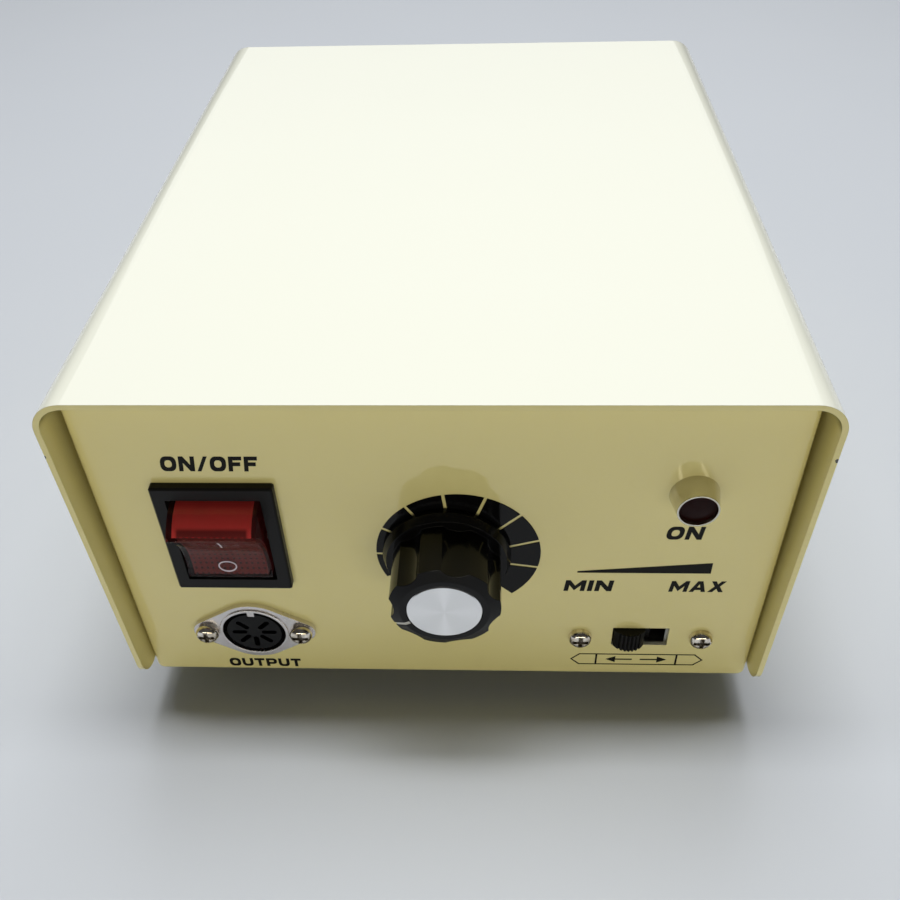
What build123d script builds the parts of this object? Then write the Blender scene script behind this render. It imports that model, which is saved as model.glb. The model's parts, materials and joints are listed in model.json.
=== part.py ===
from build123d import *
from math import atan2, cos, degrees, radians, sin, sqrt
import os

# The control box of an electric nail drill: a folded steel case with a rocker switch, a round socket,
# a speed knob, a pilot lamp and a direction switch on its recessed front panel.
# X points to the right of someone who faces the controls, Y points to the back and Z points up.
# The origin lies on the tabletop, under the middle of the whole box. Lengths are in millimetres.

os.makedirs("parts", exist_ok=True)

# Case
case_width = 150.06
case_depth = 184.0
case_height = 89.6
foot_height = 8.0
cover_sheet = 1.2
cover_bend = 6.6
cover_lean = 1.5
cover_wall_gap = 3.9
cover_corner = 6.0
cover_side_gap = 0.18
cover_top_gap = 0.3
chassis_sheet = 1.0
chassis_inner_corner = 0.8
chassis_inner_edge = 0.2
panel_recess = 5.87
side_lip = 12.0
return_lip = 10.0
notch_height = 4.6
notch_radius = 2.0
vent_width = 2.1
vent_length = 26.0
vent_pitch = 6.0
vent_count = 8
vent_place_shares = (0.25, 0.5)
cut_over = 4.0

# Clearances and fasteners
running_gap = 0.05
hole_gap = 0.15
moving_gap = 0.3
screw_radius = 1.5
screw_head_radius = 2.7
screw_head_height = 2.1
head_dome_share = 0.7
cross_length = 3.7
cross_width = 1.0
cross_depth = 1.1
nut_across = 5.5
nut_height = 2.4
thread_end = 1.0

# Rocker switch
rocker_place_share = (-0.3209, 0.5556)
bezel_width = 25.5
bezel_height = 31.0
bezel_depth = 2.0
bezel_corner = 0.6
bezel_bevel = 0.4
window_width = 19.7
window_height = 24.5
housing_wall = 1.05
housing_end_wall = 1.65
housing_depth = 20.0
housing_floor = 1.5
latch_height = 1.1
latch_width = 9.0
latch_length = 5.0
latch_gap = 0.2
rocker_gap = 0.6
rocker_end_gap = 1.0
rocker_pivot_depth = 0.7
rocker_swing = 36.0
rocker_tip_angle = 36.3
rocker_skirt_angle = 20.0
rocker_valley = 4.0
rocker_pin_radius = 1.5
rocker_pin_length = 1.25
rocker_hub_half = 5.0
rocker_hub_depth = 6.5
rocker_edge = 0.5
lamp_pocket_height = 4.4
lamp_pocket_width = 14.0
lamp_pocket_depth = 5.5
neon_radius = 2.0
neon_length = 9.0
neon_end_share = 0.6
plunger_radius = 1.4
plunger_depth = 9.0
plunger_bore_depth = 7.0
plunger_tip_share = 0.9
pole_offset = 4.9
blade_width = 4.0
blade_half_length = 7.0
blade_sheet = 0.8
blade_swing = 11.0
terminal_width = 6.3
terminal_sheet = 0.8
terminal_reach = 8.0
terminal_pitch = 6.6

# Round socket
socket_place_share = (-0.3119, 0.1907)
socket_screw_pitch = 22.2
flange_middle_radius = 9.25
flange_end_radius = 3.3
flange_sheet = 1.1
flange_rim_width = 0.8
flange_rim_height = 0.35
rim_round_share = 0.45
mouth_radius = 7.35
shell_wall = 0.5
shell_depth = 12.0
core_radius = 6.4
core_setback = 0.25
core_base = 3.0
contact_count = 7
contact_step = 45.0
contact_inner = 2.3
contact_outer = 4.7
contact_slot = 1.25
contact_hole_depth = 9.0
contact_pin_radius = 0.6
contact_tail = 4.0
key_width = 1.65
key_height = 1.8
key_setback = 0.15
key_length = 8.0
key_gap = 0.1

# Speed control
knob_place_share = (0.00797, 0.4972)
knob_proud = 16.1
knob_lift = 0.6
skirt_radius = 13.8
skirt_height = 2.6
skirt_bevel = 0.9
grip_radius = 11.6
flute_count = 7
flute_radius = 5.2
flute_depth = 1.2
rim_run = 2.4
rim_drop = 1.0
pointer_angle = 206.5
pointer_width = 0.9
pointer_depth = 1.5
pointer_inset = 0.1
pointer_end_gap = 0.3
grip_edge = 0.5
knob_hollow_radius = 7.2
knob_hollow_depth = 6.2
knob_bore_depth = 13.0
disc_radius = 7.75
disc_gap = 0.15
disc_sheet = 0.85
disc_proud = 0.15
grub_radius = 1.5
grub_length = 5.0
grub_slot = 0.6
grub_height = 9.5
shaft_radius = 3.0
bushing_radius = 3.5
bushing_reach = 5.5
bushing_plate = 1.2
can_radius = 8.2
can_depth = 7.3
can_wall = 0.5
control_nut_across = 10.0
control_nut_height = 2.0
control_washer_radius = 5.5
control_washer_sheet = 0.5
wafer_sheet = 1.0
wafer_tab_width = 13.0
wafer_tab_drop = 11.5
wiper_radius = 6.4
wiper_sheet = 1.5
wiper_contact_radius = 5.4
wiper_contact_size = 1.0
lug_width = 1.6
lug_length = 7.0
lug_sheet = 0.4
lug_pitch = 4.0
lug_count = 3
scale_shift = 2.44
scale_outer_radius = 17.7
scale_inner_radius = 12.6
scale_print = 0.15
scale_rays_right = 1.75
scale_rays_down = 1.46
scale_start = 202.5
scale_pitch = 26.5
scale_end = -43.5
scale_segments = 9
scale_gap_width = 0.7

# Pilot lamp
lamp_place_share = (0.3566, 0.7022)
lamp_base_radius = 5.05
lamp_face_radius = 4.2
lamp_proud = 5.0
lens_radius = 3.8
lens_gap = 0.05
lens_setback = 0.4
lens_crown = 0.5
lens_tail = 2.0
lamp_barrel_radius = 3.9
lamp_barrel_length = 11.0
lamp_barrel_wall = 0.8
lamp_nut_across = 10.0
lamp_nut_height = 2.5
diode_radius = 2.5
diode_length = 8.0
diode_dome_share = 0.8
diode_lead_radius = 0.3
diode_lead_length = 5.0
diode_lead_pitch = 2.54

# Direction switch
slide_place_share = (0.3155, 0.1703)
slot_width = 13.0
slot_height = 6.3
button_width = 7.1
button_proud = 2.3
button_crown = 1.9
button_tooth_count = 6
button_tooth_pitch = 0.9
button_tooth_cut = 0.5
slide_window_lip = 0.6
slide_screw_pitch = 28.0
slide_ear_length = 35.0
slide_frame_width = 20.5
slide_frame_height = 12.5
slide_frame_depth = 6.0
slide_frame_sheet = 0.8
carrier_width = 10.5
carrier_height = 9.6
carrier_depth = 2.5
slide_contact_width = 5.2
slide_contact_height = 1.8
slide_contact_depth = 1.6
slide_row_pitch = 5.0
slide_pin_pitch = 4.6
slide_pin_column_count = 3
slide_pin_row_count = 2
slide_pin_width = 1.6
slide_pin_sheet = 0.5
slide_pin_length = 4.0
slide_base_sheet = 1.2

# Transformer
core_unit = 12.7
core_length_units = 6
core_height_units = 5
window_units = 3
middle_leg_units = 2
core_stack = 38.0
transformer_side_share = -0.25
transformer_rear_gap = 10.2
strap_sheet = 1.5
strap_width = 24.0
strap_foot = 12.0
bobbin_wall = 1.0
bobbin_gap = 0.3
winding_build = 8.0

# Circuit board
board_width = 58.0
board_length = 96.0
board_sheet = 1.6
board_place_share = (0.25, 0.02)
board_hole_inset = 5.0
standoff_height = 8.0
standoff_radius = 3.0
heatsink_length = 60.0
heatsink_height = 34.0
heatsink_plate = 3.0
heatsink_fin_length = 9.0
heatsink_fin_sheet = 1.5
heatsink_fin_count = 8
heatsink_inset = 1.0
transistor_width = 10.2
transistor_height = 15.5
transistor_sheet = 4.4
transistor_leg = 4.0
transistor_leg_width = 0.8
transistor_leg_pitch = 2.54
transistor_leg_count = 3
transistor_pitch = 26.0
reservoir_radius = 11.0
reservoir_height = 36.0
reservoir_place_share = (-0.24, 0.26)
reservoir_groove = 0.6
reservoir_groove_height = 4.5
rectifier_size = (20.0, 6.0, 12.0)
rectifier_corner = 1.5
rectifier_place_share = (-0.18, -0.02)
connector_size = (30.0, 8.0, 10.0)
connector_place_share = (-0.04, -0.42)
connector_ways = 6
connector_pocket = 3.4
small_capacitor_radius = 4.0
small_capacitor_height = 11.0
small_capacitor_pitch = 11.0
small_capacitor_count = 3
small_capacitor_place_share = (-0.12, -0.22)

# Rear fittings
fuse_place_share = (0.29, 0.6)
fuse_flange_radius = 7.5
fuse_flange_sheet = 2.5
fuse_body_radius = 6.0
fuse_body_length = 26.0
fuse_body_wall = 2.0
fuse_cap_radius = 6.0
fuse_cap_reach = 9.5
fuse_cap_rib_count = 24
fuse_cap_rib_radius = 0.45
fuse_cap_rim = 1.6
fuse_cap_slot = 7.2
fuse_nut_across = 15.0
fuse_nut_height = 3.0
fuse_radius = 2.6
fuse_length = 20.0
fuse_ferrule = 5.5
gland_place_share = (-0.3, 0.3)
gland_bore = 3.6
gland_flange_radius = 8.0
gland_flange_sheet = 3.5
gland_round = 1.2
gland_body_radius = 6.2
gland_length = 12.0

# Feet and cover screws
foot_base_radius = 7.6
foot_top_radius = 9.0
foot_recess_radius = 4.0
foot_recess_depth = 3.6
foot_edge = 0.8
foot_inset_x = 14.0
foot_inset_y = 20.0
cover_screw_inset = 30.0
cover_screw_height = 8.3
cover_screw_length = 6.0

# Where the case stands
fuse_cap_proud = fuse_flange_sheet + fuse_cap_reach
front_reach = knob_proud + disc_proud - panel_recess
rear_reach = fuse_cap_proud - panel_recess
case_front = front_reach - (case_depth + front_reach + rear_reach) / 2
case_back = case_front + case_depth
cover_top = foot_height + case_height
wall_bottom = foot_height + cover_wall_gap
panel_width = case_width - 2 * (cover_sheet + cover_lean + cover_side_gap)
panel_height = case_height - cover_sheet - cover_top_gap
panel_front = case_front + panel_recess
panel_back = panel_front + chassis_sheet
rear_front = case_back - panel_recess
rear_back = rear_front - chassis_sheet
chassis_depth = rear_front - panel_front
chassis_top = foot_height + panel_height
floor_top = foot_height + chassis_sheet
chassis_corner = chassis_inner_corner + chassis_sheet
chassis_edge = chassis_inner_edge + chassis_sheet

# The plane of the front panel faces the user, and the plane of the rear panel faces the wall.
panel_face = Plane.XZ.offset(-panel_front)
rear_face = Plane(origin=(0, rear_front, 0), x_dir=(-1, 0, 0), z_dir=(0, 1, 0))
under_face = Plane(origin=(0, 0, foot_height), x_dir=(1, 0, 0), z_dir=(0, 0, -1))


def on_panel(place_share):
    """A place on the front panel, from its shares of the panel's width and height."""
    return (place_share[0] * panel_width, foot_height + place_share[1] * panel_height)


def on_floor(place_share):
    """A place on the floor of the chassis, from its shares of the width and the depth."""
    middle = (panel_front + rear_front) / 2
    return (place_share[0] * panel_width, middle + place_share[1] * chassis_depth)


def wall_x(height):
    """The cover's outer half width at a height: its walls lean in towards the bottom."""
    return case_width / 2 - cover_lean * (cover_top - height) / (cover_top - wall_bottom)


rocker_x, rocker_z = on_panel(rocker_place_share)
socket_x, socket_z = on_panel(socket_place_share)
knob_x, knob_z = on_panel(knob_place_share)
lamp_x, lamp_z = on_panel(lamp_place_share)
slide_x, slide_z = on_panel(slide_place_share)
fuse_x, fuse_z = on_panel(fuse_place_share)
gland_x, gland_z = on_panel(gland_place_share)
board_x, board_y = on_floor(board_place_share)
socket_screws_at = [(socket_x + s * socket_screw_pitch / 2, socket_z) for s in (-1, 1)]
slide_screws_at = [(slide_x + s * slide_screw_pitch / 2, slide_z) for s in (-1, 1)]
foot_x = panel_width / 2 - foot_inset_x
foot_y = chassis_depth / 2 - foot_inset_y
floor_middle = (panel_front + rear_front) / 2
cover_screw_y = chassis_depth / 2 - cover_screw_inset
cover_screw_z = foot_height + cover_screw_height
feet_at = [(sx * foot_x, floor_middle + sy * foot_y) for sx in (-1, 1) for sy in (-1, 1)]
board_hole_x = board_width / 2 - board_hole_inset
board_hole_y = board_length / 2 - board_hole_inset
board_corners = [(sx, sy) for sx in (-1, 1) for sy in (-1, 1)]
board_holes_at = [(board_x + sx * board_hole_x, board_y + sy * board_hole_y) for sx, sy in board_corners]
core_length = core_length_units * core_unit
core_height = core_height_units * core_unit
gland_end = rear_front - gland_length
transformer_x = transformer_side_share * panel_width
transformer_y = gland_end - transformer_rear_gap - core_length / 2
strap_span = core_length + 2 * strap_sheet
strap_screws_at = [(transformer_x, transformer_y + s * (strap_span + strap_foot) / 2) for s in (-1, 1)]


def save(name, builder):
    """Label a finished piece and write its file."""
    builder.part.label = name
    export_step(builder.part, f"parts/{name}.step")


def pan_screws(planes, places, shank_length):
    """Pan-head screws with crossed recesses. The heads stand on the planes, on the side they face."""
    tops = [plane.offset(screw_head_height) for plane in planes]
    with BuildPart() as screws:
        with BuildSketch(*planes):
            with Locations(*places):
                Circle(screw_head_radius)
        extrude(amount=screw_head_height)
        rims = [edge for face in screws.faces().filter_by(GeomType.PLANE) for edge in face.edges()]
        outer = [e for e in rims if any(abs(top.to_local_coords(e.center()).Z) < running_gap for top in tops)]
        fillet(outer, head_dome_share * screw_head_height)
        with BuildSketch(*planes):
            with Locations(*places):
                Circle(screw_radius)
        extrude(amount=-shank_length)
        with BuildSketch(*tops):
            with Locations(*places):
                Rectangle(cross_length, cross_width)
                Rectangle(cross_width, cross_length)
        extrude(amount=-cross_depth, mode=Mode.SUBTRACT)
    return screws


def hex_nuts(plane, places, across, height, bore):
    """Hexagonal nuts that stand on a plane, on the side it faces."""
    with BuildPart() as nuts:
        with BuildSketch(plane):
            with Locations(*places):
                RegularPolygon(across / 2, 6, major_radius=False)
                Circle(bore, mode=Mode.SUBTRACT)
        extrude(amount=height)
    return nuts


def tub(half_width, front, back, bottom, top, corner, edge):
    """A block with a rounded U section and rounded front and rear rims."""
    with BuildPart() as block:
        with BuildSketch(Plane.XZ.offset(-front)) as section:
            with Locations((0, (bottom + top) / 2)):
                Rectangle(2 * half_width, top - bottom)
            fillet(section.vertices().group_by(Axis.Y)[0], corner)
        extrude(amount=front - back)
        front_rim = block.faces().sort_by(Axis.Y)[0].edges().sort_by(Axis.Z)[:-1]
        back_rim = block.faces().sort_by(Axis.Y)[-1].edges().sort_by(Axis.Z)[:-1]
        fillet(front_rim + back_rim, edge)
    return block.part


# Chassis: one folded sheet with a floor, low side lips, a front panel and a rear panel
tub_outside = tub(
    panel_width / 2, panel_front, rear_front, foot_height, chassis_top, chassis_corner, chassis_edge
)
tub_inside = tub(
    panel_width / 2 - chassis_sheet,
    panel_back,
    rear_back,
    floor_top,
    chassis_top + cut_over,
    chassis_inner_corner,
    chassis_inner_edge,
)
with BuildPart() as chassis:
    add(tub_outside)
    add(tub_inside, mode=Mode.SUBTRACT)
    # Open the sides between the return lips, above the side lips
    with BuildSketch(Plane.XY.offset(foot_height + side_lip)):
        with Locations((0, floor_middle)):
            Rectangle(panel_width + cut_over, chassis_depth - 2 * return_lip)
    extrude(amount=case_height, mode=Mode.SUBTRACT)
    # Relieve the upper corners, where the return lips stop short of the top
    with BuildSketch(Plane.XY.offset(chassis_top - notch_height)):
        with Locations((0, floor_middle)):
            Rectangle(panel_width + cut_over, chassis_depth + cut_over)
            Rectangle(panel_width - 2 * chassis_edge, chassis_depth + 2 * cut_over, mode=Mode.SUBTRACT)
    extrude(amount=case_height, mode=Mode.SUBTRACT)
    fillet(chassis.edges().filter_by(Axis.Y).group_by(Axis.Z)[-1], notch_radius)
    # Openings for the controls
    with BuildSketch(panel_face):
        with Locations((rocker_x, rocker_z)):
            Rectangle(
                window_width + 2 * (housing_wall + hole_gap),
                window_height + 2 * (housing_end_wall + hole_gap),
            )
        with Locations((socket_x, socket_z)):
            Circle(mouth_radius + shell_wall + hole_gap)
        with Locations((knob_x, knob_z)):
            Circle(bushing_radius + hole_gap)
        with Locations((lamp_x, lamp_z)):
            Circle(lamp_barrel_radius + hole_gap)
        with Locations((slide_x, slide_z)):
            Rectangle(slot_width, slot_height)
        with Locations(*socket_screws_at, *slide_screws_at):
            Circle(screw_radius + hole_gap)
    extrude(amount=-chassis_edge, mode=Mode.SUBTRACT)
    # Openings for the fuse holder and the cord gland
    with BuildSketch(rear_face):
        with Locations((-fuse_x, fuse_z)):
            Circle(fuse_body_radius + hole_gap)
        with Locations((-gland_x, gland_z)):
            Circle(gland_body_radius + hole_gap)
    extrude(amount=-chassis_edge, mode=Mode.SUBTRACT)
    # Screw holes in the floor
    with BuildSketch(Plane.XY.offset(foot_height)):
        with Locations(*feet_at, *board_holes_at, *strap_screws_at):
            Circle(screw_radius + hole_gap)
    extrude(amount=chassis_edge, mode=Mode.SUBTRACT)
    # Screw holes in the side lips
    with BuildSketch(Plane.YZ.offset(-panel_width)):
        with Locations(*[(floor_middle + s * cover_screw_y, cover_screw_z) for s in (-1, 1)]):
            Circle(screw_radius + hole_gap)
    extrude(amount=2 * panel_width, mode=Mode.SUBTRACT)
save("chassis", chassis)

# Cover: one bent sheet with leaning walls
lean_angle = degrees(atan2(cover_lean, cover_top - wall_bottom))
cover_screw_planes = [
    Plane(
        origin=(s * wall_x(cover_screw_z), floor_middle, cover_screw_z),
        x_dir=(0, s, 0),
        z_dir=(s * cos(radians(lean_angle)), 0, -sin(radians(lean_angle))),
    )
    for s in (-1, 1)
]
cover_screws_at = [(s * cover_screw_y, 0) for s in (-1, 1)]
with BuildPart() as cover:
    with BuildSketch(Plane.XZ.offset(-case_front)) as cover_section:
        with BuildLine():
            Polyline(
                (-wall_x(wall_bottom), wall_bottom),
                (-case_width / 2, cover_top),
                (case_width / 2, cover_top),
                (wall_x(wall_bottom), wall_bottom),
                close=True,
            )
        make_face()
        fillet(cover_section.vertices().group_by(Axis.Y)[-1], cover_bend)
    extrude(amount=-case_depth)
    with BuildSketch(Plane.XZ.offset(-case_front)) as cover_hollow:
        with BuildLine():
            Polyline(
                (cover_sheet - wall_x(wall_bottom - cut_over), wall_bottom - cut_over),
                (cover_sheet - wall_x(cover_top - cover_sheet), cover_top - cover_sheet),
                (wall_x(cover_top - cover_sheet) - cover_sheet, cover_top - cover_sheet),
                (wall_x(wall_bottom - cut_over) - cover_sheet, wall_bottom - cut_over),
                close=True,
            )
        make_face()
        fillet(cover_hollow.vertices().group_by(Axis.Y)[-1], cover_bend - cover_sheet)
    extrude(amount=-case_depth, mode=Mode.SUBTRACT)
    fillet(cover.edges().filter_by(Axis.X).group_by(Axis.Z)[0], cover_corner)
    # Slots for the cooling air, in the rear half of both walls
    with BuildSketch(Plane.YZ.offset(-case_width)):
        with Locations((floor_middle + vent_place_shares[0] * chassis_depth,
                        foot_height + vent_place_shares[1] * case_height)):
            with GridLocations(vent_pitch, 0, vent_count, 1):
                SlotOverall(vent_length, vent_width, rotation=90)
    extrude(amount=2 * case_width, mode=Mode.SUBTRACT)
    with BuildSketch(*cover_screw_planes):
        with Locations(*cover_screws_at):
            Circle(screw_radius + hole_gap)
    extrude(amount=cut_over, both=True, mode=Mode.SUBTRACT)
save("cover", cover)
save("cover_screws", pan_screws(cover_screw_planes, cover_screws_at, cover_screw_length))

# Rubber feet with sunk screws
foot_taper = degrees(atan2(foot_top_radius - foot_base_radius, foot_height))
with BuildPart() as rubber_feet:
    with BuildSketch(Plane.XY):
        with Locations(*feet_at):
            Circle(foot_base_radius)
    extrude(amount=foot_height, taper=-foot_taper)
    fillet(rubber_feet.edges().group_by(Axis.Z)[0], foot_edge)
    with BuildSketch(Plane.XY):
        with Locations(*feet_at):
            Circle(foot_recess_radius)
    extrude(amount=foot_recess_depth, mode=Mode.SUBTRACT)
    with BuildSketch(Plane.XY):
        with Locations(*feet_at):
            Circle(screw_radius + hole_gap)
    extrude(amount=foot_height, mode=Mode.SUBTRACT)
save("rubber_feet", rubber_feet)
foot_screw_seat = Plane(origin=(0, 0, foot_recess_depth), x_dir=(1, 0, 0), z_dir=(0, 0, -1))
feet_from_below = [(x, -y) for x, y in feet_at]
foot_screw_length = foot_height - foot_recess_depth + chassis_sheet + nut_height + thread_end
save("foot_screws", pan_screws([foot_screw_seat], feet_from_below, foot_screw_length))

# Rocker switch housing: bezel in front of the panel, hollow body behind it
housing_width = window_width + 2 * housing_wall
housing_height = window_height + 2 * housing_end_wall
pivot_y = panel_front + rocker_pivot_depth
cavity_depth = housing_depth - housing_floor
poles = [rocker_x - pole_offset, rocker_x + pole_offset]
terminal_rows = [rocker_z, rocker_z - terminal_pitch]
with BuildPart() as switch_housing:
    with BuildSketch(panel_face):
        with Locations((rocker_x, rocker_z)):
            RectangleRounded(bezel_width, bezel_height, bezel_corner)
    extrude(amount=bezel_depth)
    chamfer(switch_housing.faces().sort_by(Axis.Y)[0].edges(), bezel_bevel)
    with BuildSketch(panel_face):
        with Locations((rocker_x, rocker_z)):
            Rectangle(housing_width, housing_height)
    extrude(amount=-housing_depth)
    # Snap latches behind the panel, above and below the body
    with BuildSketch(Plane.YZ.offset(rocker_x)):
        for side in (-1, 1):
            with BuildLine():
                Polyline(
                    (panel_back + latch_gap, rocker_z + side * housing_height / 2),
                    (panel_back + latch_gap, rocker_z + side * (housing_height / 2 + latch_height)),
                    (panel_back + latch_gap + latch_length, rocker_z + side * housing_height / 2),
                    close=True,
                )
            make_face()
    extrude(amount=latch_width / 2, both=True)
    with BuildSketch(panel_face.offset(bezel_depth)):
        with Locations((rocker_x, rocker_z)):
            Rectangle(window_width, window_height)
    extrude(amount=-(bezel_depth + cavity_depth), mode=Mode.SUBTRACT)
    with BuildSketch(Plane.YZ.offset(rocker_x)):
        with Locations((pivot_y, rocker_z)):
            Circle(rocker_pin_radius + running_gap)
    extrude(amount=window_width / 2 + housing_wall, both=True, mode=Mode.SUBTRACT)
    with BuildSketch(panel_face.offset(-cavity_depth)):
        with Locations(*[(x, z) for x in poles for z in terminal_rows]):
            Rectangle(terminal_width, terminal_sheet)
    extrude(amount=-housing_floor, mode=Mode.SUBTRACT)
save("switch_housing", switch_housing)

# Rocker, at rest with its lower half pressed in
rest_tilt = radians(rocker_swing / 2)
rocker_width = window_width - 2 * rocker_gap
rocker_radius = window_height / 2 - rocker_end_gap
rocker_plane = Plane(
    origin=(rocker_x, pivot_y, rocker_z),
    x_dir=(0, -sin(rest_tilt), cos(rest_tilt)),
    z_dir=(1, 0, 0),
)
rocker_out = (0, -cos(rest_tilt), -sin(rest_tilt))
rocker_front = Plane(origin=(rocker_x, pivot_y, rocker_z), x_dir=(1, 0, 0), z_dir=rocker_out)
rocker_axis = Axis((rocker_x, pivot_y, rocker_z), rocker_out)
tip_up = rocker_radius * cos(radians(rocker_tip_angle))
tip_out = rocker_radius * sin(radians(rocker_tip_angle))
skirt_up = rocker_radius * cos(radians(rocker_skirt_angle))
skirt_back = rocker_radius * sin(radians(rocker_skirt_angle))
lamp_pocket_middle = rocker_hub_half + lamp_pocket_height / 2
lamp_pocket_top = lamp_pocket_depth - rocker_hub_half
with BuildPart() as rocker:
    with BuildSketch(rocker_plane):
        with BuildLine():
            ThreePointArc((-tip_up, tip_out), (0, rocker_valley), (tip_up, tip_out))
            ThreePointArc((tip_up, tip_out), (rocker_radius, 0), (skirt_up, -skirt_back))
            Polyline(
                (skirt_up, -skirt_back),
                (rocker_hub_half, -rocker_hub_depth),
                (-rocker_hub_half, -rocker_hub_depth),
                (-skirt_up, -skirt_back),
            )
            ThreePointArc((-skirt_up, -skirt_back), (-rocker_radius, 0), (-tip_up, tip_out))
        make_face()
    extrude(amount=rocker_width / 2, both=True)
    fillet(rocker.edges().filter_by(Axis.X).group_by(rocker_axis)[-1], rocker_edge)
    with BuildSketch(rocker_plane):
        Circle(rocker_pin_radius)
    extrude(amount=rocker_width / 2 + rocker_pin_length, both=True)
    with BuildSketch(rocker_front.offset(-rocker_hub_depth)):
        with Locations((-pole_offset, 0), (pole_offset, 0)):
            Circle(plunger_radius + running_gap)
    extrude(amount=plunger_bore_depth, mode=Mode.SUBTRACT)
    with BuildSketch(rocker_front.offset(-rocker_hub_depth)):
        with Locations((0, -lamp_pocket_middle)):
            Rectangle(lamp_pocket_width, lamp_pocket_height)
    extrude(amount=rocker_hub_depth + lamp_pocket_top, mode=Mode.SUBTRACT)
save("rocker", rocker)

# Spring plungers in the rocker's hub, which press on the see-saw blades
with BuildPart() as switch_plungers:
    with BuildSketch(rocker_front.offset(-plunger_depth)):
        with Locations((-pole_offset, 0), (pole_offset, 0)):
            Circle(plunger_radius)
    extrude(amount=plunger_depth - rocker_hub_depth + plunger_bore_depth - moving_gap)
    tips = switch_plungers.faces().filter_by(GeomType.PLANE).group_by(Axis.Y)[-1]
    fillet(tips.edges(), plunger_tip_share * plunger_radius)
save("switch_plungers", switch_plungers)

# Neon lamp in the rocker's pocket
with BuildPart() as switch_neon:
    with BuildSketch(rocker_plane):
        with Locations((-lamp_pocket_middle, lamp_pocket_top - neon_radius)):
            Circle(neon_radius)
    extrude(amount=neon_length / 2, both=True)
    fillet(switch_neon.edges().filter_by(GeomType.CIRCLE), neon_end_share * neon_radius)
save("switch_neon", switch_neon)

# See-saw blades, tilted against the rocker, each on its middle terminal
blade_tilt = radians(blade_swing / 2)
blade_front = plunger_depth + 2 * moving_gap
blade_middle = blade_front + blade_sheet / 2
blade_plane = Plane(
    origin=(rocker_x, pivot_y + blade_middle, rocker_z),
    x_dir=(0, sin(blade_tilt), cos(blade_tilt)),
    z_dir=(1, 0, 0),
)
with BuildPart() as switch_blades:
    for pole in (-pole_offset, pole_offset):
        with BuildSketch(blade_plane.offset(pole - blade_width / 2)):
            Rectangle(2 * blade_half_length, blade_sheet)
        extrude(amount=blade_width)
save("switch_blades", switch_blades)

# Blade terminals: a middle one under each see-saw and one below it
terminal_tips = [
    blade_front + blade_sheet + moving_gap,
    blade_front + blade_sheet + moving_gap + blade_half_length * sin(blade_tilt),
]
with BuildPart() as switch_terminals:
    for row, tip in zip(terminal_rows, terminal_tips):
        with BuildSketch(panel_face.offset(-rocker_pivot_depth - tip)):
            with Locations(*[(x, row) for x in poles]):
                Rectangle(terminal_width, terminal_sheet)
        extrude(amount=rocker_pivot_depth + tip - housing_depth - terminal_reach)
save("switch_terminals", switch_terminals)

# Round socket: nickel flange with a rolled rim, and the shell behind it
with BuildPart() as socket_flange:
    with BuildSketch(panel_face):
        with BuildSketch(Plane.XY, mode=Mode.PRIVATE) as flange_outline:
            with Locations((socket_x, socket_z)):
                Circle(flange_middle_radius)
            with Locations(*socket_screws_at):
                Circle(flange_end_radius)
        make_hull(flange_outline.edges())
        with Locations((socket_x, socket_z)):
            Circle(mouth_radius, mode=Mode.SUBTRACT)
        with Locations(*socket_screws_at):
            Circle(screw_radius + hole_gap, mode=Mode.SUBTRACT)
    extrude(amount=flange_sheet)
    with BuildSketch(panel_face.offset(flange_sheet)):
        with Locations((socket_x, socket_z)):
            Circle(mouth_radius + flange_rim_width)
            Circle(mouth_radius, mode=Mode.SUBTRACT)
    extrude(amount=flange_rim_height)
    fillet(socket_flange.faces().sort_by(Axis.Y)[0].edges(), rim_round_share * flange_rim_height)
    with BuildSketch(panel_face):
        with Locations((socket_x, socket_z)):
            Circle(mouth_radius + shell_wall)
            Circle(mouth_radius, mode=Mode.SUBTRACT)
    extrude(amount=-shell_depth)
save("socket_flange", socket_flange)

# Contact block: a core with seven slots, on a base that closes the shell
core_front = flange_sheet + flange_rim_height - core_setback
contact_angles = [-90 + contact_step * (i - (contact_count - 1) / 2) for i in range(contact_count)]
contact_middle = (contact_inner + contact_outer) / 2
key_middle = socket_z + mouth_radius - key_gap - key_height / 2
with BuildPart() as socket_insert:
    with BuildSketch(panel_face.offset(core_front)):
        with Locations((socket_x, socket_z)):
            Circle(core_radius)
    extrude(amount=-core_front - shell_depth)
    with BuildSketch(panel_face.offset(-shell_depth)):
        with Locations((socket_x, socket_z)):
            Circle(mouth_radius)
    extrude(amount=core_base)
    with BuildSketch(panel_face.offset(core_front)):
        for angle in contact_angles:
            with Locations(Location((socket_x, socket_z), angle)):
                with Locations((contact_middle, 0)):
                    SlotCenterToCenter(contact_outer - contact_inner, contact_slot)
    extrude(amount=-contact_hole_depth, mode=Mode.SUBTRACT)
    with BuildSketch(panel_face.offset(core_front)):
        with Locations(*[
            (socket_x + contact_middle * cos(radians(a)), socket_z + contact_middle * sin(radians(a)))
            for a in contact_angles
        ]):
            Circle(contact_pin_radius)
    extrude(amount=-core_front - shell_depth, mode=Mode.SUBTRACT)
    with BuildSketch(panel_face.offset(core_front)):
        with Locations((socket_x, key_middle)):
            Rectangle(key_width + 2 * key_gap, key_height + 2 * key_gap)
    extrude(amount=-key_setback - key_length, mode=Mode.SUBTRACT)
save("socket_insert", socket_insert)
with BuildPart() as socket_contacts:
    with BuildSketch(panel_face.offset(core_front - contact_hole_depth / 2)):
        with Locations(*[
            (socket_x + contact_middle * cos(radians(a)), socket_z + contact_middle * sin(radians(a)))
            for a in contact_angles
        ]):
            Circle(contact_pin_radius)
    extrude(amount=contact_hole_depth / 2 - core_front - shell_depth - contact_tail)
save("socket_contacts", socket_contacts)

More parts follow.
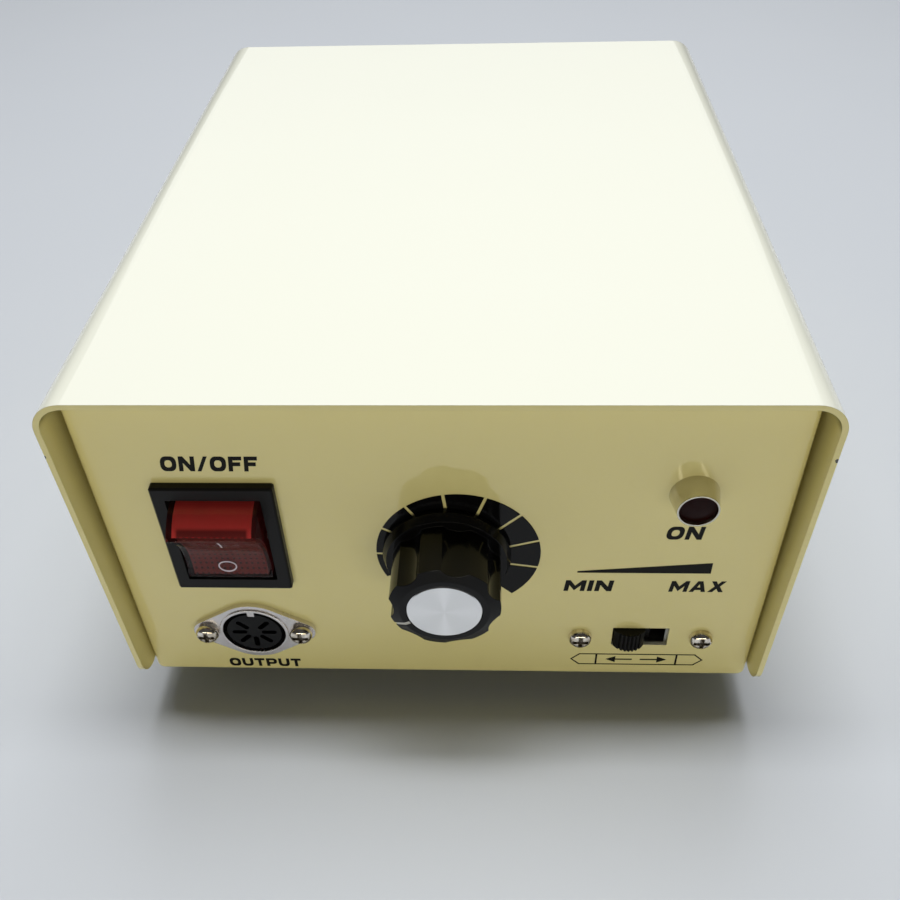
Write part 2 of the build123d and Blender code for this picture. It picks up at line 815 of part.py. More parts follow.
# Key: a metal tab in a notch at the top of the core
with BuildPart() as socket_key:
    with BuildSketch(panel_face.offset(core_front - key_setback)):
        with Locations((socket_x, key_middle)):
            Rectangle(key_width, key_height)
    extrude(amount=-key_length)
save("socket_key", socket_key)
socket_screw_length = flange_sheet + chassis_sheet + nut_height + thread_end
save("socket_screws", pan_screws([panel_face.offset(flange_sheet)], socket_screws_at, socket_screw_length))
nut_face = panel_face.offset(-chassis_sheet - nut_height)
save("socket_nuts", hex_nuts(nut_face, socket_screws_at, nut_across, nut_height, screw_radius))

# Speed knob: skirt, fluted grip, aluminium disc and white pointer
pointer_plane = Plane(
    origin=(knob_x, panel_front - knob_proud, knob_z),
    x_dir=(cos(radians(pointer_angle)), 0, sin(radians(pointer_angle))),
    z_dir=(0, -1, 0),
)
grub_plane = Plane(origin=(knob_x, panel_front - grub_height, knob_z), z_dir=(0, 0, -1))
flute_centre = grip_radius - flute_depth + flute_radius
pointer_inner = disc_radius + 2 * disc_gap
pointer_end = grip_radius - pointer_end_gap
rim_start = grip_radius - rim_run
with BuildPart() as knob:
    with BuildSketch(panel_face.offset(knob_lift)):
        with Locations((knob_x, knob_z)):
            Circle(skirt_radius)
    extrude(amount=skirt_height)
    chamfer(knob.edges().group_by(Axis.Y)[0], skirt_bevel * 2, skirt_bevel)
    with BuildSketch(panel_face.offset(knob_lift)):
        with Locations((knob_x, knob_z)):
            Circle(grip_radius)
    extrude(amount=knob_proud - knob_lift - rim_drop)
    with BuildSketch(panel_face.offset(knob_proud - rim_drop)):
        with Locations((knob_x, knob_z)):
            Circle(grip_radius)
    with BuildSketch(panel_face.offset(knob_proud)):
        with Locations((knob_x, knob_z)):
            Circle(rim_start)
    loft()
    fillet(knob.faces().sort_by(Axis.Y)[0].edges(), grip_edge)
    with BuildSketch(pointer_plane):
        with PolarLocations(flute_centre, flute_count, start_angle=180 / flute_count):
            Circle(flute_radius)
    extrude(amount=knob_lift + skirt_height - knob_proud, mode=Mode.SUBTRACT)
    with BuildSketch(pointer_plane):
        Circle(disc_radius + disc_gap)
    extrude(amount=disc_proud - disc_sheet, mode=Mode.SUBTRACT)
    with BuildSketch(pointer_plane):
        with Locations(((pointer_inner + grip_radius) / 2, 0)):
            Rectangle(grip_radius - pointer_inner + 2 * running_gap, pointer_width)
    extrude(amount=-pointer_depth, mode=Mode.SUBTRACT)
    with BuildSketch(panel_face.offset(knob_lift)):
        with Locations((knob_x, knob_z)):
            Circle(knob_hollow_radius)
    extrude(amount=knob_hollow_depth, mode=Mode.SUBTRACT)
    with BuildSketch(panel_face.offset(knob_lift)):
        with Locations((knob_x, knob_z)):
            Circle(shaft_radius + running_gap)
    extrude(amount=knob_bore_depth, mode=Mode.SUBTRACT)
    with BuildSketch(grub_plane):
        Circle(grub_radius)
    extrude(amount=grip_radius, mode=Mode.SUBTRACT)
save("knob", knob)
pointer_side = Plane(
    origin=(knob_x, panel_front - knob_proud, knob_z),
    x_dir=(cos(radians(pointer_angle)), 0, sin(radians(pointer_angle))),
    z_dir=(sin(radians(pointer_angle)), 0, -cos(radians(pointer_angle))),
)
pointer_fall = pointer_inset + rim_drop * (pointer_end - rim_start) / rim_run
with BuildPart() as knob_pointer:
    with BuildSketch(pointer_side):
        with BuildLine():
            Polyline(
                (pointer_inner, -pointer_depth),
                (pointer_inner, -pointer_inset),
                (rim_start, -pointer_inset),
                (pointer_end, -pointer_fall),
                (pointer_end, -pointer_depth),
                close=True,
            )
        make_face()
    extrude(amount=pointer_width / 2, both=True)
save("knob_pointer", knob_pointer)
with BuildPart() as knob_disc:
    with BuildSketch(pointer_plane.offset(disc_proud - disc_sheet)):
        Circle(disc_radius)
    extrude(amount=disc_sheet)
    chamfer(knob_disc.edges().group_by(Axis.Y)[0], disc_proud)
save("knob_disc", knob_disc)
with BuildPart() as knob_grub_screw:
    with BuildSketch(grub_plane.offset(shaft_radius)):
        Circle(grub_radius)
    extrude(amount=grub_length)
    with BuildSketch(grub_plane.offset(shaft_radius + grub_length)):
        Rectangle(2 * grub_radius, grub_slot)
    extrude(amount=-grub_slot, mode=Mode.SUBTRACT)
save("knob_grub_screw", knob_grub_screw)

# Speed potentiometer: shaft, bushing, nut, washer, can, wafer, wiper and lugs
can_back = chassis_sheet + bushing_plate + can_depth
wafer_back = chassis_sheet + bushing_plate + wafer_sheet
wiper_front = wafer_back + moving_gap + wiper_contact_size
shaft_end = wiper_front + wiper_sheet
with BuildPart() as speed_shaft:
    with BuildSketch(panel_face.offset(-shaft_end)):
        with Locations((knob_x, knob_z)):
            Circle(shaft_radius)
    extrude(amount=shaft_end + knob_lift + knob_bore_depth - moving_gap)
save("speed_shaft", speed_shaft)
with BuildPart() as speed_bushing:
    with BuildSketch(panel_face.offset(-chassis_sheet)):
        with Locations((knob_x, knob_z)):
            Circle(can_radius)
    extrude(amount=-bushing_plate)
    with BuildSketch(panel_face.offset(-chassis_sheet - bushing_plate)):
        with Locations((knob_x, knob_z)):
            Circle(bushing_radius)
    extrude(amount=chassis_sheet + bushing_plate + bushing_reach)
    with BuildSketch(panel_face.offset(bushing_reach)):
        with Locations((knob_x, knob_z)):
            Circle(shaft_radius + running_gap)
    extrude(amount=-bushing_reach - chassis_sheet - bushing_plate, mode=Mode.SUBTRACT)
save("speed_bushing", speed_bushing)
with BuildPart() as speed_washer:
    with BuildSketch(panel_face):
        with Locations((knob_x, knob_z)):
            Circle(control_washer_radius)
            Circle(bushing_radius + running_gap, mode=Mode.SUBTRACT)
    extrude(amount=control_washer_sheet)
save("speed_washer", speed_washer)
washer_face = panel_face.offset(control_washer_sheet)
knob_at = [(knob_x, knob_z)]
save("speed_nut", hex_nuts(washer_face, knob_at, control_nut_across, control_nut_height, bushing_radius))
with BuildPart() as speed_can:
    with BuildSketch(panel_face.offset(-can_back)):
        with Locations((knob_x, knob_z)):
            Circle(can_radius)
    extrude(amount=can_depth)
    with BuildSketch(panel_face.offset(can_wall - can_back)):
        with Locations((knob_x, knob_z)):
            Circle(can_radius - can_wall)
    extrude(amount=can_depth - can_wall, mode=Mode.SUBTRACT)
    with BuildSketch(panel_face.offset(can_depth - can_back)):
        with Locations((knob_x, knob_z - can_radius)):
            Rectangle(wafer_tab_width + 2 * moving_gap, can_radius)
    extrude(amount=-wafer_sheet - moving_gap, mode=Mode.SUBTRACT)
save("speed_can", speed_can)
with BuildPart() as speed_wafer:
    with BuildSketch(panel_face.offset(-wafer_back)):
        with Locations((knob_x, knob_z)):
            Circle(can_radius - can_wall - moving_gap)
        with Locations((knob_x, knob_z - wafer_tab_drop / 2)):
            Rectangle(wafer_tab_width, wafer_tab_drop)
        with Locations((knob_x, knob_z)):
            Circle(shaft_radius + moving_gap, mode=Mode.SUBTRACT)
    extrude(amount=wafer_sheet)
save("speed_wafer", speed_wafer)
with BuildPart() as speed_wiper:
    with BuildSketch(panel_face.offset(-wiper_front)):
        with Locations((knob_x, knob_z)):
            Circle(wiper_radius)
            Circle(shaft_radius, mode=Mode.SUBTRACT)
    extrude(amount=-wiper_sheet)
    with BuildSketch(panel_face.offset(-wiper_front)):
        with Locations((knob_x, knob_z + wiper_contact_radius)):
            Rectangle(wiper_contact_size, wiper_contact_size)
    extrude(amount=wiper_contact_size)
save("speed_wiper", speed_wiper)
with BuildPart() as speed_lugs:
    with BuildSketch(panel_face.offset(-wafer_back)):
        with Locations((knob_x, knob_z - wafer_tab_drop - lug_length / 2 + lug_width)):
            with GridLocations(lug_pitch, 0, lug_count, 1):
                Rectangle(lug_width, lug_length)
    extrude(amount=-lug_sheet)
save("speed_lugs", speed_lugs)

# Printed speed scale: a crescent of segments that grows wider with the speed
scale_x = knob_x + scale_shift
rays_x = knob_x + scale_rays_right
rays_z = knob_z - scale_rays_down
with BuildPart() as speed_scale:
    with BuildSketch(panel_face):
        with Locations((scale_x, knob_z)):
            Circle(scale_outer_radius)
        with Locations((knob_x, knob_z)):
            Circle(scale_inner_radius, mode=Mode.SUBTRACT)
        for i in range(1, scale_segments):
            with Locations(Location((rays_x, rays_z), scale_start - scale_pitch * i)):
                with Locations((scale_outer_radius, 0)):
                    Rectangle(scale_outer_radius, scale_gap_width, mode=Mode.SUBTRACT)
        # The sector below the knob stays bare, from the last segment round to the first
        with BuildLine():
            bare_angles = [scale_start, (scale_start + scale_end) / 2 + 180, scale_end + 360]
            reach = 2 * scale_outer_radius
            rays = [(reach * cos(radians(angle)), reach * sin(radians(angle))) for angle in bare_angles]
            corners = [(rays_x + across, rays_z + up) for across, up in rays]
            Polyline((rays_x, rays_z), *corners, close=True)
        make_face(mode=Mode.SUBTRACT)
    extrude(amount=scale_print)
save("speed_scale", speed_scale)

# Pilot lamp: nickel bezel with a threaded barrel, red lens, nut and light-emitting diode
barrel_bore = lamp_barrel_radius - lamp_barrel_wall
with BuildPart() as lamp_bezel:
    with BuildSketch(panel_face):
        with Locations((lamp_x, lamp_z)):
            Circle(lamp_base_radius)
    with BuildSketch(panel_face.offset(lamp_proud)):
        with Locations((lamp_x, lamp_z)):
            Circle(lamp_face_radius)
    loft()
    with BuildSketch(panel_face):
        with Locations((lamp_x, lamp_z)):
            Circle(lamp_barrel_radius)
    extrude(amount=-lamp_barrel_length)
    with BuildSketch(panel_face.offset(lamp_proud)):
        with Locations((lamp_x, lamp_z)):
            Circle(lens_radius + lens_gap)
    extrude(amount=-lamp_proud, mode=Mode.SUBTRACT)
    with BuildSketch(panel_face):
        with Locations((lamp_x, lamp_z)):
            Circle(barrel_bore)
    extrude(amount=-lamp_barrel_length, mode=Mode.SUBTRACT)
save("lamp_bezel", lamp_bezel)
lens_front = lamp_proud - lens_setback
crown_radius = (lens_radius ** 2 + lens_crown ** 2) / (2 * lens_crown)
with BuildPart() as lamp_lens:
    with BuildSketch(Plane(origin=(lamp_x, panel_front, lamp_z), x_dir=(1, 0, 0), z_dir=(0, 0, 1))):
        with BuildLine():
            Line((0, 0), (lens_radius, 0))
            Line((lens_radius, 0), (lens_radius, lens_crown - lens_front))
            RadiusArc((lens_radius, lens_crown - lens_front), (0, -lens_front), crown_radius)
            Line((0, -lens_front), (0, 0))
        make_face()
    revolve(axis=Axis((lamp_x, panel_front, lamp_z), (0, 1, 0)))
    with BuildSketch(panel_face):
        with Locations((lamp_x, lamp_z)):
            Circle(barrel_bore - lens_gap)
    extrude(amount=-lens_tail)
save("lamp_lens", lamp_lens)
lamp_nut_face = panel_face.offset(-chassis_sheet - lamp_nut_height)
lamp_at = [(lamp_x, lamp_z)]
save("lamp_nut", hex_nuts(lamp_nut_face, lamp_at, lamp_nut_across, lamp_nut_height, lamp_barrel_radius))
diode_front = lens_tail + moving_gap
with BuildPart() as lamp_diode:
    with BuildSketch(panel_face.offset(-diode_front)):
        with Locations((lamp_x, lamp_z)):
            Circle(diode_radius)
    extrude(amount=-diode_length)
    fillet(lamp_diode.edges().group_by(Axis.Y)[0], diode_dome_share * diode_radius)
    with BuildSketch(panel_face.offset(-diode_front - diode_length)):
        with Locations((lamp_x, lamp_z)):
            with GridLocations(diode_lead_pitch, 0, 2, 1):
                Circle(diode_lead_radius)
    extrude(amount=-diode_lead_length)
    with BuildSketch(panel_face.offset(-diode_front - diode_length)):
        with Locations((lamp_x, lamp_z)):
            Circle(barrel_bore)
    extrude(amount=diode_lead_pitch / 2)
save("lamp_diode", lamp_diode)

# Direction switch: frame with ears, button at its left stop, contacts, base and terminals
button_x = slide_x - slot_width / 2 + moving_gap + button_width / 2
button_height = slot_height - 2 * moving_gap
frame_front = chassis_sheet
frame_back = chassis_sheet + slide_frame_depth
carrier_front = frame_front + slide_frame_sheet + moving_gap
carrier_back = carrier_front + carrier_depth
contact_back = carrier_back + slide_contact_depth
with BuildPart() as slide_frame:
    with BuildSketch(panel_face.offset(-frame_front)):
        with Locations((slide_x, slide_z)):
            Rectangle(slide_ear_length, slide_frame_height)
    extrude(amount=-slide_frame_sheet)
    with BuildSketch(panel_face.offset(-frame_front)):
        with Locations((slide_x, slide_z)):
            Rectangle(slide_frame_width, slide_frame_height)
    extrude(amount=-slide_frame_depth)
    with BuildSketch(panel_face.offset(-frame_back)):
        with Locations((slide_x, slide_z)):
            Rectangle(slide_frame_width - 2 * slide_frame_sheet, slide_frame_height - 2 * slide_frame_sheet)
    extrude(amount=slide_frame_depth - slide_frame_sheet, mode=Mode.SUBTRACT)
    with BuildSketch(panel_face.offset(-frame_front)):
        with Locations((slide_x, slide_z)):
            Rectangle(slot_width, slot_height)
        with Locations(*slide_screws_at):
            Circle(screw_radius)
    extrude(amount=-slide_frame_sheet, mode=Mode.SUBTRACT)
    # The window stops short of the panel's slot at its right end
    with BuildSketch(panel_face.offset(-frame_front)):
        with Locations((slide_x + slot_width / 2 - slide_window_lip / 2, slide_z)):
            Rectangle(slide_window_lip, slot_height)
    extrude(amount=-slide_frame_sheet)
save("slide_frame", slide_frame)
button_section = Plane(origin=(button_x, panel_front, slide_z - button_height / 2))
button_side = button_width / 2
button_shoulder = button_crown - button_proud
button_arc = (button_side**2 + button_crown**2) / (2 * button_crown)
tooth_spread = (button_tooth_count - 1) / 2
tooth_places = [button_tooth_pitch * (i - tooth_spread) for i in range(button_tooth_count)]
teeth_at = [(x, button_arc - button_proud - sqrt(button_arc**2 - x**2)) for x in tooth_places]
with BuildPart() as slide_button:
    with BuildSketch(button_section):
        with BuildLine():
            ThreePointArc((-button_side, button_shoulder), (0, -button_proud), (button_side, button_shoulder))
            Polyline(
                (button_side, button_shoulder),
                (button_side, carrier_front),
                (-button_side, carrier_front),
                (-button_side, button_shoulder),
            )
        make_face()
        with Locations(*teeth_at):
            Rectangle(button_tooth_cut, button_tooth_cut, rotation=45, mode=Mode.SUBTRACT)
    extrude(amount=button_height)
    with BuildSketch(panel_face.offset(-carrier_front)):
        with Locations((button_x, slide_z)):
            Rectangle(carrier_width, carrier_height)
    extrude(amount=-carrier_depth)
save("slide_button", slide_button)
with BuildPart() as slide_contacts:
    with BuildSketch(panel_face.offset(-carrier_back)):
        with Locations((button_x, slide_z)):
            with GridLocations(0, slide_row_pitch, 1, 2):
                Rectangle(slide_contact_width, slide_contact_height)
    extrude(amount=-slide_contact_depth)
save("slide_contacts", slide_contacts)
with BuildPart() as slide_base:
    with BuildSketch(panel_face.offset(-frame_back)):
        with Locations((slide_x, slide_z)):
            Rectangle(slide_frame_width, slide_frame_height)
    extrude(amount=-slide_base_sheet)
    with BuildSketch(panel_face.offset(-frame_back)):
        with Locations((slide_x, slide_z)):
            with GridLocations(slide_pin_pitch, slide_row_pitch, slide_pin_column_count, slide_pin_row_count):
                Rectangle(slide_pin_sheet, slide_pin_width)
    extrude(amount=-slide_base_sheet, mode=Mode.SUBTRACT)
save("slide_base", slide_base)
with BuildPart() as slide_terminals:
    with BuildSketch(panel_face.offset(-contact_back - moving_gap)):
        with Locations((slide_x, slide_z)):
            with GridLocations(slide_pin_pitch, slide_row_pitch, slide_pin_column_count, slide_pin_row_count):
                Rectangle(slide_pin_sheet, slide_pin_width)
    extrude(amount=contact_back + moving_gap - frame_back - slide_base_sheet - slide_pin_length)
save("slide_terminals", slide_terminals)
slide_screw_length = chassis_sheet + slide_frame_sheet + thread_end
save("slide_screws", pan_screws([panel_face], slide_screws_at, slide_screw_length))

# Transformer: laminated core, bobbin, windings and a strap that holds it to the floor
core_bottom = floor_top + moving_gap
core_middle = core_bottom + core_height / 2
core_window = window_units * core_unit
middle_leg = middle_leg_units * core_unit
transformer_side = Plane(origin=(transformer_x, transformer_y, core_middle), x_dir=(0, 1, 0), z_dir=(1, 0, 0))
with BuildPart() as transformer_core:
    with BuildSketch(transformer_side.offset(-core_stack / 2)):
        Rectangle(core_length, core_height)
        with GridLocations(middle_leg + core_unit, 0, 2, 1):
            Rectangle(core_unit, core_window, mode=Mode.SUBTRACT)
    extrude(amount=core_stack)
save("transformer_core", transformer_core)
bobbin_inside = (core_stack + 2 * bobbin_gap, middle_leg + 2 * bobbin_gap)
tube_size = (bobbin_inside[0] + 2 * bobbin_wall, bobbin_inside[1] + 2 * bobbin_wall)
window_span = middle_leg + 2 * core_unit
flange_size = (tube_size[0] + 2 * winding_build + 2 * bobbin_wall, window_span - 2 * bobbin_gap)
bobbin_height = core_window - 2 * bobbin_gap
bobbin_bottom = core_middle - bobbin_height / 2
transformer_top_view = Plane(origin=(transformer_x, transformer_y, bobbin_bottom))
with BuildPart() as transformer_bobbin:
    with BuildSketch(transformer_top_view):
        Rectangle(*tube_size)
    extrude(amount=bobbin_height)
    with BuildSketch(transformer_top_view, transformer_top_view.offset(bobbin_height - bobbin_wall)):
        Rectangle(*flange_size)
    extrude(amount=bobbin_wall)
    with BuildSketch(transformer_top_view):
        Rectangle(*bobbin_inside)
    extrude(amount=bobbin_height, mode=Mode.SUBTRACT)
save("transformer_bobbin", transformer_bobbin)
winding_size = (tube_size[0] + 2 * winding_build, min(tube_size[1] + 2 * winding_build, flange_size[1]))
with BuildPart() as transformer_windings:
    with BuildSketch(transformer_top_view.offset(bobbin_wall)):
        RectangleRounded(*winding_size, winding_build / 2)
        Rectangle(*tube_size, mode=Mode.SUBTRACT)
    extrude(amount=bobbin_height - 2 * bobbin_wall)
save("transformer_windings", transformer_windings)
with BuildPart() as transformer_strap:
    with BuildSketch(transformer_side.offset(-strap_width / 2)):
        with Locations((0, strap_sheet / 2 - moving_gap / 2)):
            Rectangle(strap_span, core_height + strap_sheet + moving_gap)
        with Locations((0, -moving_gap / 2)):
            Rectangle(core_length, core_height + moving_gap, mode=Mode.SUBTRACT)
        with Locations((0, floor_top + strap_sheet / 2 - core_middle)):
            with GridLocations(strap_span + strap_foot, 0, 2, 1):
                Rectangle(strap_foot, strap_sheet)
    extrude(amount=strap_width)
    with BuildSketch(Plane.XY.offset(floor_top)):
        with Locations(*strap_screws_at):
            Circle(screw_radius + hole_gap)
    extrude(amount=strap_sheet, mode=Mode.SUBTRACT)
save("transformer_strap", transformer_strap)

# Nuts on the floor for the feet and the strap
foot_nuts = hex_nuts(Plane.XY.offset(floor_top), feet_at, nut_across, nut_height, screw_radius)
strap_top = Plane.XY.offset(floor_top + strap_sheet)
strap_nuts = hex_nuts(strap_top, strap_screws_at, nut_across, nut_height, screw_radius)
with BuildPart() as floor_nuts:
    add(foot_nuts.part)
    add(strap_nuts.part)
save("floor_nuts", floor_nuts)

# Circuit board on standoffs
board_bottom = floor_top + standoff_height
board_top = board_bottom + board_sheet
standoff_thread = standoff_height / 2 - thread_end / 2
with BuildPart() as circuit_board:
    with BuildSketch(Plane.XY.offset(board_bottom)):
        with Locations((board_x, board_y)):
            Rectangle(board_width, board_length)
        with Locations(*board_holes_at):
            Circle(screw_radius + hole_gap, mode=Mode.SUBTRACT)
    extrude(amount=board_sheet)
save("circuit_board", circuit_board)
with BuildPart() as board_standoffs:
    with BuildSketch(Plane.XY.offset(floor_top)):
        with Locations(*board_holes_at):
            RegularPolygon(standoff_radius, 6)
            Circle(screw_radius, mode=Mode.SUBTRACT)
    extrude(amount=standoff_height)
save("board_standoffs", board_standoffs)
save("board_screws", pan_screws([Plane.XY.offset(board_top)], board_holes_at, board_sheet + standoff_thread))

# Screws through the floor from below, for the strap and the standoffs
strap_from_below = [(x, -y) for x, y in strap_screws_at]
board_from_below = [(x, -y) for x, y in board_holes_at]
strap_screw_length = chassis_sheet + strap_sheet + nut_height + thread_end
strap_screws = pan_screws([under_face], strap_from_below, strap_screw_length)
standoff_screws = pan_screws([under_face], board_from_below, chassis_sheet + standoff_thread)
with BuildPart() as floor_screws:
    add(strap_screws.part)
    add(standoff_screws.part)
save("floor_screws", floor_screws)


def on_board(place_share):
    """A place on the circuit board, from its shares of the board's width and length."""
    return (board_x + place_share[0] * board_width, board_y + place_share[1] * board_length)


# Heatsink along the board's right edge, and the power transistors on its flat face
heatsink_width = heatsink_plate + heatsink_fin_length
heatsink_right = board_x + board_width / 2 - heatsink_inset
heatsink_left = heatsink_right - heatsink_width
fin_span = heatsink_length - heatsink_fin_sheet
with BuildPart() as heatsink:
    with BuildSketch(Plane.XY.offset(board_top)):
        with Locations((heatsink_left + heatsink_plate / 2, board_y)):
            Rectangle(heatsink_plate, heatsink_length)
        with Locations((heatsink_left + heatsink_width / 2, board_y)):
            with GridLocations(0, fin_span / (heatsink_fin_count - 1), 1, heatsink_fin_count):
                Rectangle(heatsink_width, heatsink_fin_sheet)
    extrude(amount=heatsink_height)
save("heatsink", heatsink)
with BuildPart() as power_transistors:
    with BuildSketch(Plane.XY.offset(board_top + transistor_leg)):
        with Locations((heatsink_left - transistor_sheet / 2, board_y)):
            with GridLocations(0, transistor_pitch, 1, 2):
                Rectangle(transistor_sheet, transistor_width)
    extrude(amount=transistor_height)
    with BuildSketch(Plane.XY.offset(board_top)):
        with Locations((heatsink_left - transistor_sheet / 2, board_y)):
            with GridLocations(0, transistor_pitch, 1, 2):
                with GridLocations(0, transistor_leg_pitch, 1, transistor_leg_count):
                    Rectangle(transistor_leg_width, transistor_leg_width)
    extrude(amount=transistor_leg)
save("power_transistors", power_transistors)

# Parts that stand on the board
with BuildPart() as reservoir_capacitor:
    with BuildSketch(Plane.XY.offset(board_top)):
        with Locations(on_board(reservoir_place_share)):
            Circle(reservoir_radius)
    extrude(amount=reservoir_height)
    fillet(reservoir_capacitor.edges().group_by(Axis.Z)[-1], reservoir_groove)
    with BuildSketch(Plane.XY.offset(board_top + reservoir_groove_height)):
        with Locations(on_board(reservoir_place_share)):
            Circle(reservoir_radius + reservoir_groove)
            Circle(reservoir_radius - reservoir_groove, mode=Mode.SUBTRACT)
    extrude(amount=2 * reservoir_groove, mode=Mode.SUBTRACT)
save("reservoir_capacitor", reservoir_capacitor)
with BuildPart() as small_capacitors:
    with BuildSketch(Plane.XY.offset(board_top)):
        with Locations(on_board(small_capacitor_place_share)):
            with GridLocations(small_capacitor_pitch, 0, small_capacitor_count, 1):
                Circle(small_capacitor_radius)
    extrude(amount=small_capacitor_height)
    fillet(small_capacitors.edges().group_by(Axis.Z)[-1], reservoir_groove)
save("small_capacitors", small_capacitors)
with BuildPart() as bridge_rectifier:
    with BuildSketch(Plane.XY.offset(board_top)):
        with Locations(on_board(rectifier_place_share)):
            Rectangle(rectifier_size[0], rectifier_size[1])
    extrude(amount=rectifier_size[2])
    chamfer(bridge_rectifier.edges().filter_by(Axis.Z).sort_by(Axis.X)[-1], rectifier_corner)
save("bridge_rectifier", bridge_rectifier)
with BuildPart() as board_connector:
    with BuildSketch(Plane.XY.offset(board_top)):
        with Locations(on_board(connector_place_share)):
            Rectangle(connector_size[0], connector_size[1])
    extrude(amount=connector_size[2])
    with BuildSketch(Plane.XY.offset(board_top + connector_size[2])):
        with Locations(on_board(connector_place_share)):
            with GridLocations(connector_size[0] / connector_ways, 0, connector_ways, 1):
                Rectangle(connector_pocket, connector_pocket)
    extrude(amount=-connector_size[2] / 2, mode=Mode.SUBTRACT)
save("board_connector", board_connector)

# Fuse holder on the rear panel, with its nut, its ribbed cap and the glass fuse in it
fuse_at = [(-fuse_x, fuse_z)]
fuse_bore = fuse_body_radius - fuse_body_wall
plug_radius = fuse_bore - running_gap
plug_length = fuse_flange_sheet + fuse_ferrule
with BuildPart() as fuse_holder:
    with BuildSketch(rear_face):
        with Locations(*fuse_at):
            Circle(fuse_flange_radius)
    extrude(amount=fuse_flange_sheet)
    with BuildSketch(rear_face):
        with Locations(*fuse_at):
            Circle(fuse_body_radius)
    extrude(amount=-fuse_body_length)
    with BuildSketch(rear_face.offset(fuse_flange_sheet)):
        with Locations(*fuse_at):
            Circle(fuse_bore)
    extrude(amount=fuse_body_wall - fuse_body_length - fuse_flange_sheet, mode=Mode.SUBTRACT)
save("fuse_holder", fuse_holder)
fuse_nut_face = rear_face.offset(-chassis_sheet - fuse_nut_height)
save("fuse_nut", hex_nuts(fuse_nut_face, fuse_at, fuse_nut_across, fuse_nut_height, fuse_body_radius))
cap_seat = rear_face.offset(fuse_flange_sheet + moving_gap)
with BuildPart() as fuse_cap:
    with BuildSketch(cap_seat):
        with Locations(*fuse_at):
            Circle(fuse_cap_radius)
    extrude(amount=fuse_cap_reach - moving_gap)
    fillet(fuse_cap.edges().group_by(Axis.Y)[-1], fuse_cap_rib_radius)
    with BuildSketch(cap_seat.offset(fuse_cap_rim)):
        with Locations(*fuse_at):
            with PolarLocations(fuse_cap_radius + fuse_cap_rib_radius / 2, fuse_cap_rib_count):
                Circle(fuse_cap_rib_radius)
    extrude(amount=fuse_cap_reach, mode=Mode.SUBTRACT)
    with BuildSketch(cap_seat):
        with Locations(*fuse_at):
            Circle(plug_radius)
    extrude(amount=-plug_length)
    with BuildSketch(cap_seat.offset(-plug_length)):
        with Locations(*fuse_at):
            Circle(fuse_radius + running_gap)
    extrude(amount=fuse_ferrule, mode=Mode.SUBTRACT)
    with BuildSketch(cap_seat.offset(fuse_cap_reach - moving_gap)):
        with Locations(*fuse_at):
            Rectangle(fuse_cap_slot, cross_width)
    extrude(amount=-cross_depth, mode=Mode.SUBTRACT)
save("fuse_cap", fuse_cap)
with BuildPart() as fuse:
    with BuildSketch(cap_seat.offset(fuse_ferrule - plug_length)):
        with Locations(*fuse_at):
            Circle(fuse_radius)
    extrude(amount=-fuse_length)
    with BuildSketch(cap_seat.offset(-plug_length)):
        with Locations(*fuse_at):
            Circle(fuse_radius + running_gap)
            Circle(fuse_radius - running_gap, mode=Mode.SUBTRACT)
    extrude(amount=2 * fuse_ferrule - fuse_length, mode=Mode.SUBTRACT)
save("fuse", fuse)

# Cord gland on the rear panel, without its cord
with BuildPart() as cord_gland:
    with BuildSketch(rear_face):
        with Locations((-gland_x, gland_z)):
            Circle(gland_flange_radius)
    extrude(amount=gland_flange_sheet)
    fillet(cord_gland.edges().group_by(Axis.Y)[-1], gland_round)
    with BuildSketch(rear_face):
        with Locations((-gland_x, gland_z)):
            Circle(gland_body_radius)
    extrude(amount=-gland_length)
    with BuildSketch(rear_face.offset(gland_flange_sheet)):
        with Locations((-gland_x, gland_z)):
            Circle(gland_bore)
    extrude(amount=-gland_length - gland_flange_sheet, mode=Mode.SUBTRACT)
save("cord_gland", cord_gland)
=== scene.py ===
# %% [markdown]
# # The control box of a nail drill
#
# This lesson dresses a folded steel box: cream paint on sheet metal, a red rocker, a nickel socket,
# a black speed knob with a spun aluminium disc, a pilot lamp and a slide switch.
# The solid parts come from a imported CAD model, so the first step loads it. Each part is an object whose
# points already stand in the right place, in metres, so that nothing has to be fitted by hand.

# %% Load the frame
import json
import math

import bmesh
import bpy
from mathutils import Matrix, Vector

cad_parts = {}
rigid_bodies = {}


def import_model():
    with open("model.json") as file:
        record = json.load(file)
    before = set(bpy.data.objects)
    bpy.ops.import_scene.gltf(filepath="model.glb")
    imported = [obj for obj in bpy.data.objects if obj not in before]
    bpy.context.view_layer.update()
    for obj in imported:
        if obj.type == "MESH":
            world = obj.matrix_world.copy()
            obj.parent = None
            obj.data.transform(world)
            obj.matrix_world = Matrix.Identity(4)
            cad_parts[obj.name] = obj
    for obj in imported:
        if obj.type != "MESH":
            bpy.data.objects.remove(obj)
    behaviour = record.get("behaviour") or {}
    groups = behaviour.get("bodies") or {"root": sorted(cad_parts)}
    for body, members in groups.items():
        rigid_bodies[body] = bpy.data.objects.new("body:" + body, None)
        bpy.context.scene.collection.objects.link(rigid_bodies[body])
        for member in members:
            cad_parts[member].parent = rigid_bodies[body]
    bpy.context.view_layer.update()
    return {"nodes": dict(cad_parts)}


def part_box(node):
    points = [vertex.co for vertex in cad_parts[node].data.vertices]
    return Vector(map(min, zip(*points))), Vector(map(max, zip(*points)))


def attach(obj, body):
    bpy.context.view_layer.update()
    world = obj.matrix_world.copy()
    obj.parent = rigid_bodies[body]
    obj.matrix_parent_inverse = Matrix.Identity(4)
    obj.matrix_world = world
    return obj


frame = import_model()
nodes = frame["nodes"]
MM = 0.001

# %% [markdown]
# ## Places on the panel
#
# Everything on the front is placed from the parts themselves. The middle of a part's box gives the middle
# of a control, and the front of the chassis is the plane of the painted panel.

